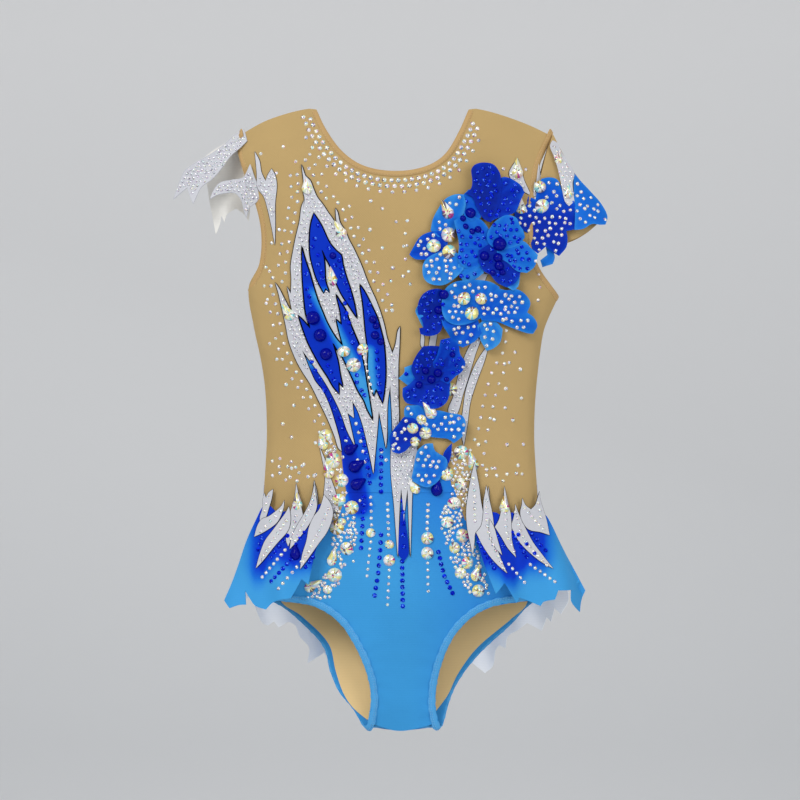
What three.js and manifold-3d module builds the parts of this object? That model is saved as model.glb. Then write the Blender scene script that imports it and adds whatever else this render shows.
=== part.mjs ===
// A child's rhythmic gymnastics leotard, closed and empty, as it hangs by its shoulders.
// Millimetres, +Z up. The front faces -Y, and left and right are as seen from the front.
// The origin is on the hanging line: x = 0 on the centre line, y = 0 between front and back,
// z = 0 at the top of the shoulders beside the neck.
//
// Fabric pieces are cut from three curved surfaces: the body, the flared skirt and the sleeves.
// Each surface gives a depth y for every height z and place across, and a piece is a thin slab of
// that surface trimmed to a flat outline, so pieces laid on each other keep parallel faces.
import * as THREE from 'three';
import { mergeVertices } from 'three/addons/utils/BufferGeometryUtils.js';
import Module from 'manifold-3d';

const wasm = await Module();
wasm.setup();

// ---- driving dimensions ------------------------------------------------------------------

const LENGTH = 580; // top of shoulder to crotch
const CHEST = 287; // half chest, laid flat
const FABRIC = 1; // thickness of the stretch fabric, both faces
const GAP = 0.4; // clearance between pieces that touch in the real garment
const APPLIQUE = 0.8; // thickness of glued fabric pieces
const PETAL = 2; // thickness of the doubled fabric petals
const LAYER_STEP = 1.4; // distance from one glued layer to the next
const NECK_BINDING = 5; // visible width of each binding
const ARM_BINDING = 6;
const LEG_ELASTIC = 7;
const BINDING_THICK = 2.2;
const BINDING_GAP = 1.2; // between a binding and the panel that it is sewn round
const SEAM_WIDTH = 2.6; // side, shoulder and crotch seams
const SKIRT_CLEAR = 2.6; // skirt in front of the body at the hip seam
const SKIRT_FLARE = 30; // how far the hem stands out beyond the hip seam, front and back
const SKIRT_SPREAD = 44; // how much wider the hem is than the hip seam, on each side
const SKIRT_DROP = 120; // height over which the flare develops
const SLEEVE_STANDOFF = 8; // sleeve in front of the shoulder line at its top
const SLEEVE_SWELL = 10; // further standoff lower down
const BIG_STONE = 14; // diameters of the sew-on stones
const ROUND_STONE = 12;
const CABOCHON = 9;

// The pattern is drafted for one size and graded from it, as a pattern cutter does: every drafted
// point moves in proportion to the length and the half chest, and widths of bindings, thicknesses,
// clearances and stones stay as they are.
const DRAFT_LENGTH = 580;
const DRAFT_CHEST = 287;
const gradeX = CHEST / DRAFT_CHEST;
const gradeZ = LENGTH / DRAFT_LENGTH;
const graded = (points) => points.map(([x, z]) => [x * gradeX, z * gradeZ]);

const HIP_SEAM = -350 * gradeZ; // height of the seam that the skirts hang from
const WAIST_SEAM = -362 * gradeZ; // height where the mesh ends and the blue brief begins

// Stations down the body, as drafted: height, left edge, right edge and half depth.
const STATIONS = [
  [20, -152, 152, 6],
  [0, -152, 152, 8],
  [-60, -151, 152, 21],
  [-120, -150, 151, 26],
  [-160, -142, 149, 26],
  [-200, -135, 134, 25],
  [-250, -125, 126, 23],
  [-300, -122, 123, 22],
  [-360, -125, 126, 26],
  [-455, -131, 132, 28],
  [-520, -131, 132, 17],
  [-DRAFT_LENGTH, -131, 132, 5],
  [-DRAFT_LENGTH - 25, -131, 132, 4],
];

// ---- surfaces ----------------------------------------------------------------------------

// A smooth value between stations: cubic Hermite with slopes from the neighbouring rows.
function station(height, column) {
  const z = height / gradeZ;
  let i = 0;
  while (i < STATIONS.length - 2 && z < STATIONS[i + 1][0]) i++;
  const [a, b] = [STATIONS[i], STATIONS[i + 1]];
  const before = STATIONS[Math.max(i - 1, 0)];
  const after = STATIONS[Math.min(i + 2, STATIONS.length - 1)];
  const span = b[0] - a[0];
  const t = THREE.MathUtils.clamp((z - a[0]) / span, 0, 1);
  const slopeA = ((b[column] - before[column]) / (b[0] - before[0])) * span;
  const slopeB = ((after[column] - a[column]) / (after[0] - a[0])) * span;
  const t2 = t * t;
  const t3 = t2 * t;
  return gradeX * ((2 * t3 - 3 * t2 + 1) * a[column] + (t3 - 2 * t2 + t) * slopeA
    + (3 * t2 - 2 * t3) * b[column] + (t3 - t2) * slopeB);
}

const leftEdge = (z) => station(z, 1);
const rightEdge = (z) => station(z, 2);

// Every surface: across(z) gives the middle and half width, depth(z) the half depth, and the
// section between the two edges is half an ellipse.
const EDGE_ROOM = 2; // the ellipse ends this far outside the silhouette
const body = {
  across: (z) => [(leftEdge(z) + rightEdge(z)) / 2, (rightEdge(z) - leftEdge(z)) / 2 + EDGE_ROOM],
  depth: (z) => station(z, 3),
  rows: [20 * gradeZ, -LENGTH - 25 * gradeZ],
};
const flare = (z) => Math.max(0, (HIP_SEAM - z) / SKIRT_DROP);
const skirt = {
  across: (z) => {
    const [middle, half] = body.across(HIP_SEAM);
    return [middle, half + SKIRT_CLEAR + SKIRT_SPREAD * flare(z)];
  },
  depth: (z) => body.depth(HIP_SEAM) + SKIRT_CLEAR + SKIRT_FLARE * flare(z) ** 1.2,
  rows: [HIP_SEAM + 25 * gradeZ, HIP_SEAM - 200 * gradeZ],
};
const sleeve = {
  flat: true,
  across: () => [0, 240 * gradeX],
  depth: (z) => SLEEVE_STANDOFF
    + SLEEVE_SWELL * Math.sin((Math.PI / 2) * THREE.MathUtils.clamp((-20 - z / gradeZ) / 50, 0, 1)),
  rows: [0, -175 * gradeZ],
};

function depthAt(surface, x, z) {
  const [middle, half] = surface.across(z);
  if (surface.flat) return surface.depth(z);
  return surface.depth(z) * Math.sqrt(Math.max(0, 1 - ((x - middle) / half) ** 2));
}

// ---- making solids -----------------------------------------------------------------------

function geometryFrom(vertices, faces) {
  let volume = 0;
  const [a, b, c] = [new THREE.Vector3(), new THREE.Vector3(), new THREE.Vector3()];
  for (let f = 0; f < faces.length; f += 3) {
    a.fromArray(vertices, 3 * faces[f]);
    b.fromArray(vertices, 3 * faces[f + 1]);
    c.fromArray(vertices, 3 * faces[f + 2]);
    volume += a.dot(b.cross(c));
  }
  if (volume < 0) faces.reverse();
  const geometry = new THREE.BufferGeometry();
  geometry.setAttribute('position', new THREE.Float32BufferAttribute(vertices, 3));
  geometry.setIndex(faces);
  return geometry;
}

// A closed tube of rectangles: each section is a list of four corners, and the last joins the first.
function loopOfSections(sections) {
  const vertices = sections.flat().flatMap((p) => p.toArray());
  const faces = [];
  sections.forEach((_, i) => {
    const j = (i + 1) % sections.length;
    for (let k = 0; k < 4; k++) {
      const l = (k + 1) % 4;
      const quad = [4 * i + k, 4 * i + l, 4 * j + l, 4 * j + k];
      faces.push(quad[0], quad[1], quad[2], quad[0], quad[2], quad[3]);
    }
  });
  return geometryFrom(vertices, faces);
}

// A slab of a surface between two offsets, on the side -1 (front) or +1 (back).
const COLUMNS = 12;
const ROW_STEP = 25;
function slab(surface, side, near, far) {
  const [top, bottom] = surface.rows;
  const rows = Math.round((top - bottom) / ROW_STEP);
  const step = (top - bottom) / rows;
  const vertices = [];
  for (const offset of [near, far]) {
    for (let r = 0; r <= rows; r++) {
      const z = top - r * step;
      const [middle, half] = surface.across(z);
      for (let c = 0; c <= COLUMNS; c++) {
        const across = -1 + (2 * c) / COLUMNS;
        const x = middle + half * (surface.flat ? across : Math.sin((across * Math.PI) / 2));
        vertices.push(x, side * (depthAt(surface, x, z) + offset), z);
      }
    }
  }
  const wide = COLUMNS + 1;
  const skin = wide * (rows + 1);
  const faces = [];
  const quad = (p, q, r, s) => faces.push(p, q, r, p, r, s);
  for (let r = 0; r < rows; r++) {
    for (let c = 0; c < COLUMNS; c++) {
      const p = r * wide + c;
      quad(p, p + 1, p + wide + 1, p + wide);
      quad(skin + p, skin + p + wide, skin + p + wide + 1, skin + p + 1);
    }
    const l = r * wide;
    quad(l, l + wide, skin + l + wide, skin + l);
    const e = l + COLUMNS;
    quad(e, skin + e, skin + e + wide, e + wide);
  }
  for (let c = 0; c < COLUMNS; c++) {
    quad(c, skin + c, skin + c + 1, c + 1);
    const b = rows * wide + c;
    quad(b, b + 1, skin + b + 1, skin + b);
  }
  return geometryFrom(vertices, faces);
}

const REACH = 120; // longer than any piece is deep
function prism(outline, fromY, toY) {
  const shape = new THREE.Shape(outline.map(([x, z]) => new THREE.Vector2(x, z)));
  const geometry = new THREE.ExtrudeGeometry(shape, { depth: toY - fromY, bevelEnabled: false });
  return geometry.rotateX(Math.PI / 2).translate(0, toY, 0);
}

function toSolid(geometry) {
  const bare = geometry.clone();
  bare.deleteAttribute('normal');
  bare.deleteAttribute('uv');
  const merged = mergeVertices(bare, 1e-4);
  return new wasm.Manifold(new wasm.Mesh({
    numProp: 3,
    vertProperties: new Float32Array(merged.attributes.position.array),
    triVerts: new Uint32Array(merged.index.array),
  }));
}

function fromSolid(solid) {
  const mesh = solid.getMesh();
  const geometry = new THREE.BufferGeometry();
  geometry.setAttribute('position', new THREE.BufferAttribute(mesh.vertProperties, 3));
  geometry.setIndex(new THREE.BufferAttribute(mesh.triVerts, 1));
  return geometry;
}

// A fabric piece: the slab of a surface between two offsets, trimmed to an outline in x and z.
const slabs = new Map();
function cut(surface, side, near, thickness, outline) {
  const key = [surface.rows, side, near, thickness].join();
  if (!slabs.has(key)) slabs.set(key, toSolid(slab(surface, side, near, near + thickness)));
  const [from, to] = side < 0 ? [-REACH, 0] : [0, REACH];
  return fromSolid(slabs.get(key).intersect(toSolid(prism(outline, from, to))));
}

// ---- opening edges -----------------------------------------------------------------------

const spline = (points, count) => new THREE.SplineCurve(
  graded(points).map(([x, z]) => new THREE.Vector2(x, z)),
).getPoints(count).map((p) => [p.x, p.y]);

// Moves each point of an edge away from the middle of its opening, square to the edge.
function pushOut(edge, centre, distance) {
  const [[cx, cz]] = graded([centre]);
  return edge.map(([x, z], i) => {
    const [ax, az] = edge[Math.max(i - 1, 0)];
    const [bx, bz] = edge[Math.min(i + 1, edge.length - 1)];
    const length = Math.hypot(bx - ax, bz - az);
    let [nx, nz] = [(bz - az) / length, (ax - bx) / length];
    if (nx * (x - cx) + nz * (z - cz) < 0) [nx, nz] = [-nx, -nz];
    return [x + nx * distance, z + nz * distance];
  });
}

const onBody = ([x, z], side) => new THREE.Vector3(x, side * (depthAt(body, x, z) + FABRIC / 2), z);

// A binding all round an opening: along the front edge and back along the back edge. Its inner
// side is the edge of the opening, and it is as wide as the fabric folded over the edge.
function binding(frontEdge, backEdge, centre, width, joinEnds) {
  const path = [
    ...frontEdge.map((p) => onBody(p, -1)),
    joinEnds[1],
    ...[...backEdge].reverse().map((p) => onBody(p, 1)),
    joinEnds[0],
  ];
  const [[cx, cz]] = graded([centre]);
  const middle = new THREE.Vector3(cx, 0, cz);
  const sections = path.map((point, i) => {
    const along = path[(i + 1) % path.length].clone().sub(path.at(i - 1)).normalize();
    const outward = point.clone().sub(middle);
    outward.addScaledVector(along, -outward.dot(along)).normalize();
    const through = along.clone().cross(outward).multiplyScalar(BINDING_THICK / 2);
    const outer = point.clone().addScaledVector(outward, width);
    return [
      point.clone().add(through),
      outer.clone().add(through),
      outer.clone().sub(through),
      point.clone().sub(through),
    ];
  });
  return loopOfSections(sections);
}

const NECK_CENTRE = [-7, 8];
const neckFront = spline([[-78, -1], [-69, -20], [-54, -41], [-35, -54.5], [-8, -60], [20, -57],
  [40, -46], [54, -24], [64, -1]], 24);
const neckBack = spline([[-78, -1], [-70, -22], [-56, -46], [-35, -61], [-8, -67], [20, -63],
  [40, -51], [55, -26], [64, -1]], 24);

const ARM_CENTRE_L = [-185, -95];
const armLeft = spline([[-151, -26], [-152, -38], [-146, -59], [-134, -92], [-129, -118],
  [-131, -146], [-141, -164]], 16);
const ARM_CENTRE_R = [185, -95];
const armRight = spline([[143, -26], [138, -36], [130, -55], [125, -86], [124, -118],
  [128, -146], [146, -171]], 16);

const LEG_CENTRE_L = [-100, -525];
const legFrontLeft = spline([[-130, -458], [-104, -460], [-79, -464], [-57, -478], [-42, -500],
  [-31, -526], [-27, -550], [-30, -572]], 20);
const legBackLeft = spline([[-130, -458], [-112, -467], [-94, -482], [-72, -506], [-66, -528],
  [-57, -548], [-45, -562], [-35, -576]], 20);
const LEG_CENTRE_R = [100, -525];
const legFrontRight = spline([[131, -458], [112, -460], [86, -464], [68, -473], [52, -489],
  [42, -508], [35, -532], [33, -556], [36, -574]], 20);
const legBackRight = spline([[131, -458], [118, -469], [105, -484], [77, -510], [60, -530],
  [49, -549], [40, -576]], 20);

const across = (x, z) => new THREE.Vector3(x * gradeX, 0, z * gradeZ);

// ---- panel outlines ----------------------------------------------------------------------

// Shoulder line from the neck to the sleeve: height of the top edge over x.
const SHOULDER_L = graded([[-85, 0], [-104, -4], [-127, -12], [-142, -18]]);
const SHOULDER_R = graded([[71, 0], [92, -5], [120, -15], [134, -20]]);
const SHOULDER_THICK = 1.6;
const lower = (points, distance) => points.map(([x, z]) => [x, z - distance]);

// The side of a panel from one height to another, set in from the silhouette by the seam.
function side(edge, from, to, inset) {
  const steps = Math.ceil(Math.abs(to - from) / 25);
  const sign = edge(from) < 0 ? 1 : -1;
  return Array.from({ length: steps + 1 }, (_, i) => {
    const z = from + ((to - from) * i) / steps;
    return [edge(z) + sign * inset, z];
  });
}

const UNDERARM_L = -176 * gradeZ;
const UNDERARM_R = -184 * gradeZ;
const SIDE_INSET = SEAM_WIDTH + GAP;
function bodice(neck, armL, armR) {
  const top = SHOULDER_THICK + GAP;
  return [
    ...pushOut(neck, NECK_CENTRE, NECK_BINDING + BINDING_GAP).slice(2, -2),
    ...lower(SHOULDER_R, top),
    ...pushOut(armR, ARM_CENTRE_R, ARM_BINDING + BINDING_GAP).slice(2),
    ...side(rightEdge, UNDERARM_R, WAIST_SEAM + GAP, SIDE_INSET),
    ...side(leftEdge, WAIST_SEAM + GAP, UNDERARM_L, SIDE_INSET),
    ...pushOut(armL, ARM_CENTRE_L, ARM_BINDING + BINDING_GAP).slice(2).reverse(),
    ...lower(SHOULDER_L, top).reverse(),
  ];
}

const BRIEF_SIDE = -446 * gradeZ; // the brief's side seams end here, above the leg elastic
const CROTCH = -LENGTH + 2.4;
const CROTCH_LEFT = -21 * gradeX;
const CROTCH_RIGHT = 26 * gradeX;
function brief(legL, legR) {
  return [
    ...side(rightEdge, WAIST_SEAM - GAP, BRIEF_SIDE, SIDE_INSET),
    ...pushOut(legR, LEG_CENTRE_R, LEG_ELASTIC + BINDING_GAP).slice(1, -1),
    [CROTCH_RIGHT, CROTCH],
    [CROTCH_LEFT, CROTCH],
    ...pushOut(legL, LEG_CENTRE_L, LEG_ELASTIC + BINDING_GAP).slice(1, -1).reverse(),
    ...side(leftEdge, BRIEF_SIDE, WAIST_SEAM - GAP, SIDE_INSET),
  ];
}

// A strip along a silhouette edge, through the garment from front to back.
const SEAM_DEPTH = 4.6;
function seamStrip(outer, inner, halfDepth) {
  return prism([...outer, ...[...inner].reverse()], -halfDepth, halfDepth);
}

// A petal outline: an ellipse with rounded lobes.
function petals(x, z, rx, rz, lobes, depth, turn) {
  const count = lobes * 6;
  return Array.from({ length: count }, (_, i) => {
    const angle = (2 * Math.PI * i) / count;
    const swell = 1 - depth * (1 - Math.abs(Math.cos((lobes * (angle - turn)) / 2)));
    return [x + rx * swell * Math.cos(angle), z + rz * swell * Math.sin(angle)];
  });
}

// ---- colours -----------------------------------------------------------------------------

const paint = (colour, roughness, metalness = 0) => new THREE.MeshStandardMaterial({
  color: colour, roughness, metalness,
});
const NUDE = () => paint(0xb9975f, 0.8);
const NUDE_BINDING = () => paint(0xb28b55, 0.75);
const SKY = () => paint(0x3a8fd0, 0.7);
const ROYAL = () => paint(0x173f9f, 0.65);
const AZURE = () => paint(0x2370c4, 0.65);
const WHITE = () => paint(0xdcdde0, 0.7);
const CRYSTAL = () => paint(0xe6e8d8, 0.08, 0.6);
const SAPPHIRE = () => paint(0x1230a8, 0.1, 0.4);

const leotard = new THREE.Group();
function add(name, geometry, material) {
  geometry.computeVertexNormals();
  const mesh = new THREE.Mesh(geometry, material);
  mesh.name = name;
  leotard.add(mesh);
}

// ---- body --------------------------------------------------------------------------------

add('front_bodice', cut(body, -1, 0, FABRIC, bodice(neckFront, armLeft, armRight)), NUDE());
add('back_bodice', cut(body, 1, 0, FABRIC, bodice(neckBack, armLeft, armRight)), NUDE());
add('front_brief', cut(body, -1, 0, FABRIC, brief(legFrontLeft, legFrontRight)), SKY());
add('back_brief', cut(body, 1, 0, FABRIC, brief(legBackLeft, legBackRight)), SKY());

// The lining lies inside the back brief, a little smaller than it.
const lining = [
  [116, -374], [118, -430], [100, -462], [66, -500], [44, -535], [22, -570],
  [-18, -570], [-40, -545], [-52, -522], [-62, -492], [-98, -458], [-118, -430], [-116, -374],
];
add('brief_lining', cut(body, 1, -LAYER_STEP, APPLIQUE, graded(lining)), NUDE());
const gusset = [[22, -470], [20, -520], [18, -570], [-14, -570], [-18, -520], [-20, -470]];
add('crotch_gusset', cut(body, -1, -LAYER_STEP, APPLIQUE, graded(gusset)), NUDE());

add('neck_binding', binding(neckFront, neckBack, NECK_CENTRE, NECK_BINDING,
  [across(-78.5, 0.4), across(64.5, 0.4)]), NUDE_BINDING());
add('armhole_binding_left', binding(armLeft, armLeft, ARM_CENTRE_L, ARM_BINDING,
  [across(-150, -21), across(-144, -168)]), NUDE_BINDING());
add('armhole_binding_right', binding(armRight, armRight, ARM_CENTRE_R, ARM_BINDING,
  [across(143, -22), across(150, -175)]), NUDE_BINDING());
add('leg_elastic_left', binding(legFrontLeft, legBackLeft, LEG_CENTRE_L, LEG_ELASTIC,
  [across(-132, -457), across(-33, -DRAFT_LENGTH + 1)]), SKY());
add('leg_elastic_right', binding(legFrontRight, legBackRight, LEG_CENTRE_R, LEG_ELASTIC,
  [across(133, -457), across(38, -DRAFT_LENGTH + 1)]), SKY());

add('shoulder_seam_left', seamStrip(SHOULDER_L, lower(SHOULDER_L, SHOULDER_THICK), 6), NUDE());
add('shoulder_seam_right', seamStrip(SHOULDER_R, lower(SHOULDER_R, SHOULDER_THICK), 6), NUDE());
add('side_seam_left', seamStrip(side(leftEdge, UNDERARM_L, BRIEF_SIDE, 0),
  side(leftEdge, UNDERARM_L, BRIEF_SIDE, SEAM_WIDTH), SEAM_DEPTH), NUDE());
add('side_seam_right', seamStrip(side(rightEdge, UNDERARM_R, BRIEF_SIDE, 0),
  side(rightEdge, UNDERARM_R, BRIEF_SIDE, SEAM_WIDTH), SEAM_DEPTH), NUDE());
add('crotch_seam', prism([
  [CROTCH_RIGHT, -LENGTH], [CROTCH_RIGHT, CROTCH - GAP], [CROTCH_LEFT, CROTCH - GAP],
  [CROTCH_LEFT, -LENGTH]], -SEAM_DEPTH, SEAM_DEPTH), SKY());

// The blank sewn-in label, inside the back.
const LABEL = [42, 31];
const [labelAt] = graded([[72, -286]]);
add('care_label', cut(body, 1, -LAYER_STEP, APPLIQUE, [
  labelAt, [labelAt[0] + LABEL[0], labelAt[1]], [labelAt[0] + LABEL[0], labelAt[1] - LABEL[1]],
  [labelAt[0], labelAt[1] - LABEL[1]]]), NUDE());

// ---- applique ----------------------------------------------------------------------------

// Pieces lie in layers on the front. FACE keeps how far the outer face of each stands off the body.
const layer = (n) => FABRIC + GAP + 0.2 + (n - 1) * LAYER_STEP;
const FACE = { front_brief: FABRIC };
function glue(name, n, outline, material, thickness = APPLIQUE) {
  FACE[name] = layer(n) + thickness;
  add(name, cut(body, -1, layer(n), thickness, graded(outline)), material);
}

glue('flame_ground', 1, [
  [-91, -54], [-85, -66], [-78, -80], [-67, -91], [-60, -97], [-54, -111], [-38, -139],
  [-29, -157], [-21, -177], [-14, -205], [-10, -225], [-12, -262], [-16, -302], [-30, -318],
  [-50, -329], [-60, -306], [-73, -284], [-85, -260], [-97, -231], [-105, -207], [-109, -185],
  [-116, -160], [-101, -170], [-100, -139], [-95, -115], [-89, -77],
], WHITE());
const FLAME_TONGUES = {
  flame_tongue_top: [[-79, -100], [-69, -118], [-54, -140], [-46, -166], [-41, -192], [-58, -182],
    [-71, -170], [-80, -139], [-84, -115]],
  flame_tongue_inner: [[-92, -130], [-85, -160], [-74, -190], [-58, -214], [-74, -210], [-87, -193],
    [-93, -160]],
  flame_tongue_middle: [[-95, -196], [-84, -214], [-70, -230], [-56, -258], [-72, -250],
    [-86, -230]],
  flame_tongue_outer: [[-92, -236], [-78, -258], [-60, -281], [-44, -314], [-58, -303],
    [-74, -276], [-86, -253]],
  flame_tongue_right: [[-37, -166], [-28, -178], [-21, -197], [-15, -219], [-18, -273],
    [-25, -250], [-30, -215], [-36, -190]],
  flame_tongue_low: [[-60, -190], [-46, -212], [-36, -240], [-27, -289], [-40, -268],
    [-50, -240], [-55, -214]],
};
for (const [name, outline] of Object.entries(FLAME_TONGUES)) glue(name, 2, outline, ROYAL());

glue('centre_strip', 1, [[-3, -206], [1, -250], [3, -300], [-10, -300], [-7, -250]], WHITE());
glue('centre_panel', 1, [[-14, -304], [16, -304], [30, -328], [50, -344], [58, -372],
  [-58, -372], [-48, -334]], SKY());
glue('centre_motif', 2, [
  [-8, -314], [-4, -335], [-1, -322], [3, -338], [7, -322], [10, -335], [15, -314], [14, -370],
  [12, -417], [8, -372], [3, -350], [-1, -372], [-3, -418], [-6, -370]], WHITE());
glue('centre_wedge', 2, [[3, -358], [6, -378], [9, -414], [3, -398], [-1, -412], [0, -378]],
  ROYAL());
glue('lightning', 1, [[-133, -41], [-122, -70], [-119, -58], [-114, -72], [-113, -100],
  [-116, -127], [-122, -105], [-125, -86]], WHITE());

glue('stem_left', 1, [[71, -214], [75, -222], [52, -286], [45, -286], [64, -236]], WHITE());
glue('stem_right', 1, [[80, -222], [84, -230], [67, -292], [60, -314], [54, -312],
  [60, -290]], WHITE());

// ---- flowers -----------------------------------------------------------------------------

const FLOWERS = {
  // name: layer, x, z, half width, half height, lobes, lobe depth, turn, colour
  flower_top: [4, 86, -81, 26, 27, 5, 0.22, 0.3, ROYAL],
  flower_upper: [3, 83, -134, 34, 32, 5, 0.22, 1.1, ROYAL],
  petals_pale: [2, 29, -125, 20, 40, 4, 0.2, 0.2, AZURE],
  flower_middle: [4, 80, -192, 41, 31, 6, 0.24, 0.6, AZURE],
  bud: [3, 29, -192, 14, 21, 3, 0.15, 0.4, ROYAL],
  flower_lower: [4, 32, -250, 28, 30, 5, 0.22, 0.9, ROYAL],
  flower_bottom: [3, 26, -301, 35, 17, 6, 0.24, 0.5, AZURE],
  leaf: [2, 33, -333, 14, 20, 3, 0.18, 1.4, AZURE],
};
// The three heights that the flowers overlap at, each clear of the one below it.
const petalPitch = (PETAL + GAP) / LAYER_STEP;
const flowerLayer = { 2: 2, 3: 2 + petalPitch, 4: 2 + 2 * petalPitch };
for (const [name, [n, x, z, rx, rz, lobes, deep, turn, colour]] of Object.entries(FLOWERS)) {
  glue(name, flowerLayer[n], petals(x, z, rx, rz, lobes, deep, turn), colour(), PETAL);
}

// ---- skirt -------------------------------------------------------------------------------

const HIP_TOP = HIP_SEAM / gradeZ;
const skirtFrontLeft = [
  [-123, HIP_TOP], [-68, HIP_TOP], [-85, -443], [-91, -438], [-99, -454], [-106, -453],
  [-117, -457], [-125, -465], [-130, -460], [-135, -462], [-143, -449], [-146, -458],
  [-155, -464], [-161, -454], [-151, -432], [-142, -405], [-128, -372],
];
const skirtFrontRight = [
  [74, HIP_TOP], [125, HIP_TOP], [128, -362], [136, -381], [149, -412], [163, -436],
  [171, -453], [167, -469], [158, -460], [156, -449], [147, -447], [143, -455], [133, -457],
  [129, -460], [114, -454], [106, -458], [99, -442], [95, -441], [86, -453],
];
add('skirt_front_left', cut(skirt, -1, 0, FABRIC, graded(skirtFrontLeft)), SKY());
add('skirt_front_right', cut(skirt, -1, 0, FABRIC, graded(skirtFrontRight)), SKY());
add('skirt_back', cut(skirt, 1, 0, FABRIC, graded([
  [-123, HIP_TOP], [-128, -372], [-142, -412], [-152, -461], [-130, -472], [-126, -479],
  [-115, -478], [-102, -483], [-92, -492], [-85, -517], [-73, -508], [-60, -520], [-48, -506],
  [-36, -522], [-22, -508], [-8, -524], [6, -509], [20, -522], [34, -507], [47, -520],
  [60, -508], [74, -512], [88, -524], [93, -509], [100, -497], [115, -502], [111, -495],
  [129, -468], [137, -479], [150, -460], [142, -412], [130, -372], [125, HIP_TOP],
])), SKY());

const onSkirt = (outline) => cut(skirt, -1, layer(1), APPLIQUE, graded(outline));
add('hip_flame_left', onSkirt([
  [-124, -376], [-119, -358], [-112, -374], [-108, -366], [-101, -374], [-95, -352], [-88, -376],
  [-79, -352], [-74, -372], [-71, -354], [-74, -385], [-84, -396], [-93, -427], [-95, -405],
  [-102, -411], [-108, -398], [-118, -408], [-133, -428], [-126, -405], [-134, -399]]), WHITE());
add('hip_flame_right', onSkirt([
  [78, -354], [84, -378], [97, -352], [101, -380], [107, -370], [109, -378], [113, -365],
  [117, -378], [127, -360], [131, -380], [138, -398], [128, -396], [140, -429], [118, -404],
  [106, -418], [98, -431], [95, -404], [92, -414], [88, -398], [81, -414], [80, -390]]), WHITE());

// ---- sleeves -----------------------------------------------------------------------------

const featherTop = [
  [-152, -22], [-164, -33], [-190, -49], [-202, -59], [-212, -84], [-200, -74], [-193, -89],
  [-186, -74], [-175, -66], [-166, -52], [-157, -41]];
const featherLow = [
  [-140, -55], [-146, -66], [-156, -70], [-168, -72], [-177, -84], [-153, -81], [-147, -87],
  [-143, -102], [-139, -94], [-132, -84], [-136, -66]];
const featherBack = [
  [-154, -30], [-168, -40], [-186, -56], [-178, -84], [-174, -115], [-168, -99], [-165, -105],
  [-161, -101], [-150, -101], [-149, -84], [-156, -56]];
add('sleeve_left_feather_top', cut(sleeve, -1, 0, FABRIC, graded(featherTop)), WHITE());
add('sleeve_left_feather_low', cut(sleeve, -1, LAYER_STEP, FABRIC, graded(featherLow)), WHITE());
add('sleeve_left_back', cut(sleeve, 1, 0, FABRIC, graded(featherBack)), WHITE());

const capOutline = [
  [146, -27], [153, -43], [162, -62], [186, -91], [192, -103], [182, -111], [156, -126],
  [141, -118], [132, -100], [129, -77], [134, -55], [141, -38]];
add('sleeve_right_cap', cut(sleeve, -1, 0, FABRIC, graded(capOutline)), NUDE());
add('sleeve_right_back', cut(sleeve, 1, 0, FABRIC, graded(capOutline)), NUDE());
add('sleeve_petal_inner', cut(sleeve, -1, LAYER_STEP, APPLIQUE,
  graded(petals(138, -104, 15, 40, 4, 0.18, 0.8))), ROYAL());
add('sleeve_petal_outer', cut(sleeve, -1, LAYER_STEP, APPLIQUE, graded([
  [162, -62], [175, -76], [188, -90], [193, -104], [186, -110], [172, -109], [163, -115],
  [156, -108], [156, -86]])), AZURE());

// ---- stones ------------------------------------------------------------------------------

const STONE_LIFT = 1.2; // the flat back of a stone stands clear of the curved fabric

// A cut stone: a flat back, a straight girdle and a smaller table, facing the front.
function stone(diameter, draftX, draftZ, under) {
  const [[x, z]] = graded([[draftX, draftZ]]);
  const radius = diameter / 2;
  const height = diameter * 0.28;
  const rim = Array.from({ length: 8 }, (_, i) => depthAt(body,
    x + radius * Math.cos((i * Math.PI) / 4), z + radius * Math.sin((i * Math.PI) / 4)));
  const base = Math.max(...rim, depthAt(body, x, z)) + FACE[under] + STONE_LIFT;
  const girdle = new THREE.CylinderGeometry(radius * 0.55, radius, height, 10);
  return girdle.rotateX(Math.PI).translate(x, -(base + height / 2), z);
}
const STONES = [
  // name, diameter, x, z, the piece that it is sewn on
  ['stone_flame_a', ROUND_STONE, -52, -225, 'flame_tongue_low'],
  ['stone_flame_b', ROUND_STONE, -37, -231, 'flame_tongue_low'],
  ['stone_column_left', BIG_STONE, -60, -434, 'front_brief'],
  ['stone_column_right', BIG_STONE, 62, -400, 'front_brief'],
  ['stone_centre', BIG_STONE, 25, -401, 'front_brief'],
  ['stone_flower', ROUND_STONE, 72, -183, 'flower_middle'],
  ['stone_petals', ROUND_STONE, 34, -128, 'petals_pale'],
  ['stone_lower', ROUND_STONE, 41, -262, 'flower_lower'],
];
for (const [name, diameter, x, z, under] of STONES) {
  add(name, stone(diameter, x, z, under), CRYSTAL());
}
add('cabochon_upper', stone(CABOCHON, 92, -128, 'flower_upper'), SAPPHIRE());

export default leotard;
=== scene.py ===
"""A child's rhythmic-gymnastics leotard: nude stretch mesh, a sky-blue brief with two skirt flaps
and a ragged back skirt, cut-out flames and flowers sewn on the front, flutter sleeves and crystals."""

import math

import bpy
import numpy as np
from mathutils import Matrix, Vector
from mathutils.bvhtree import BVHTree
from mathutils.geometry import delaunay_2d_cdt


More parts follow.
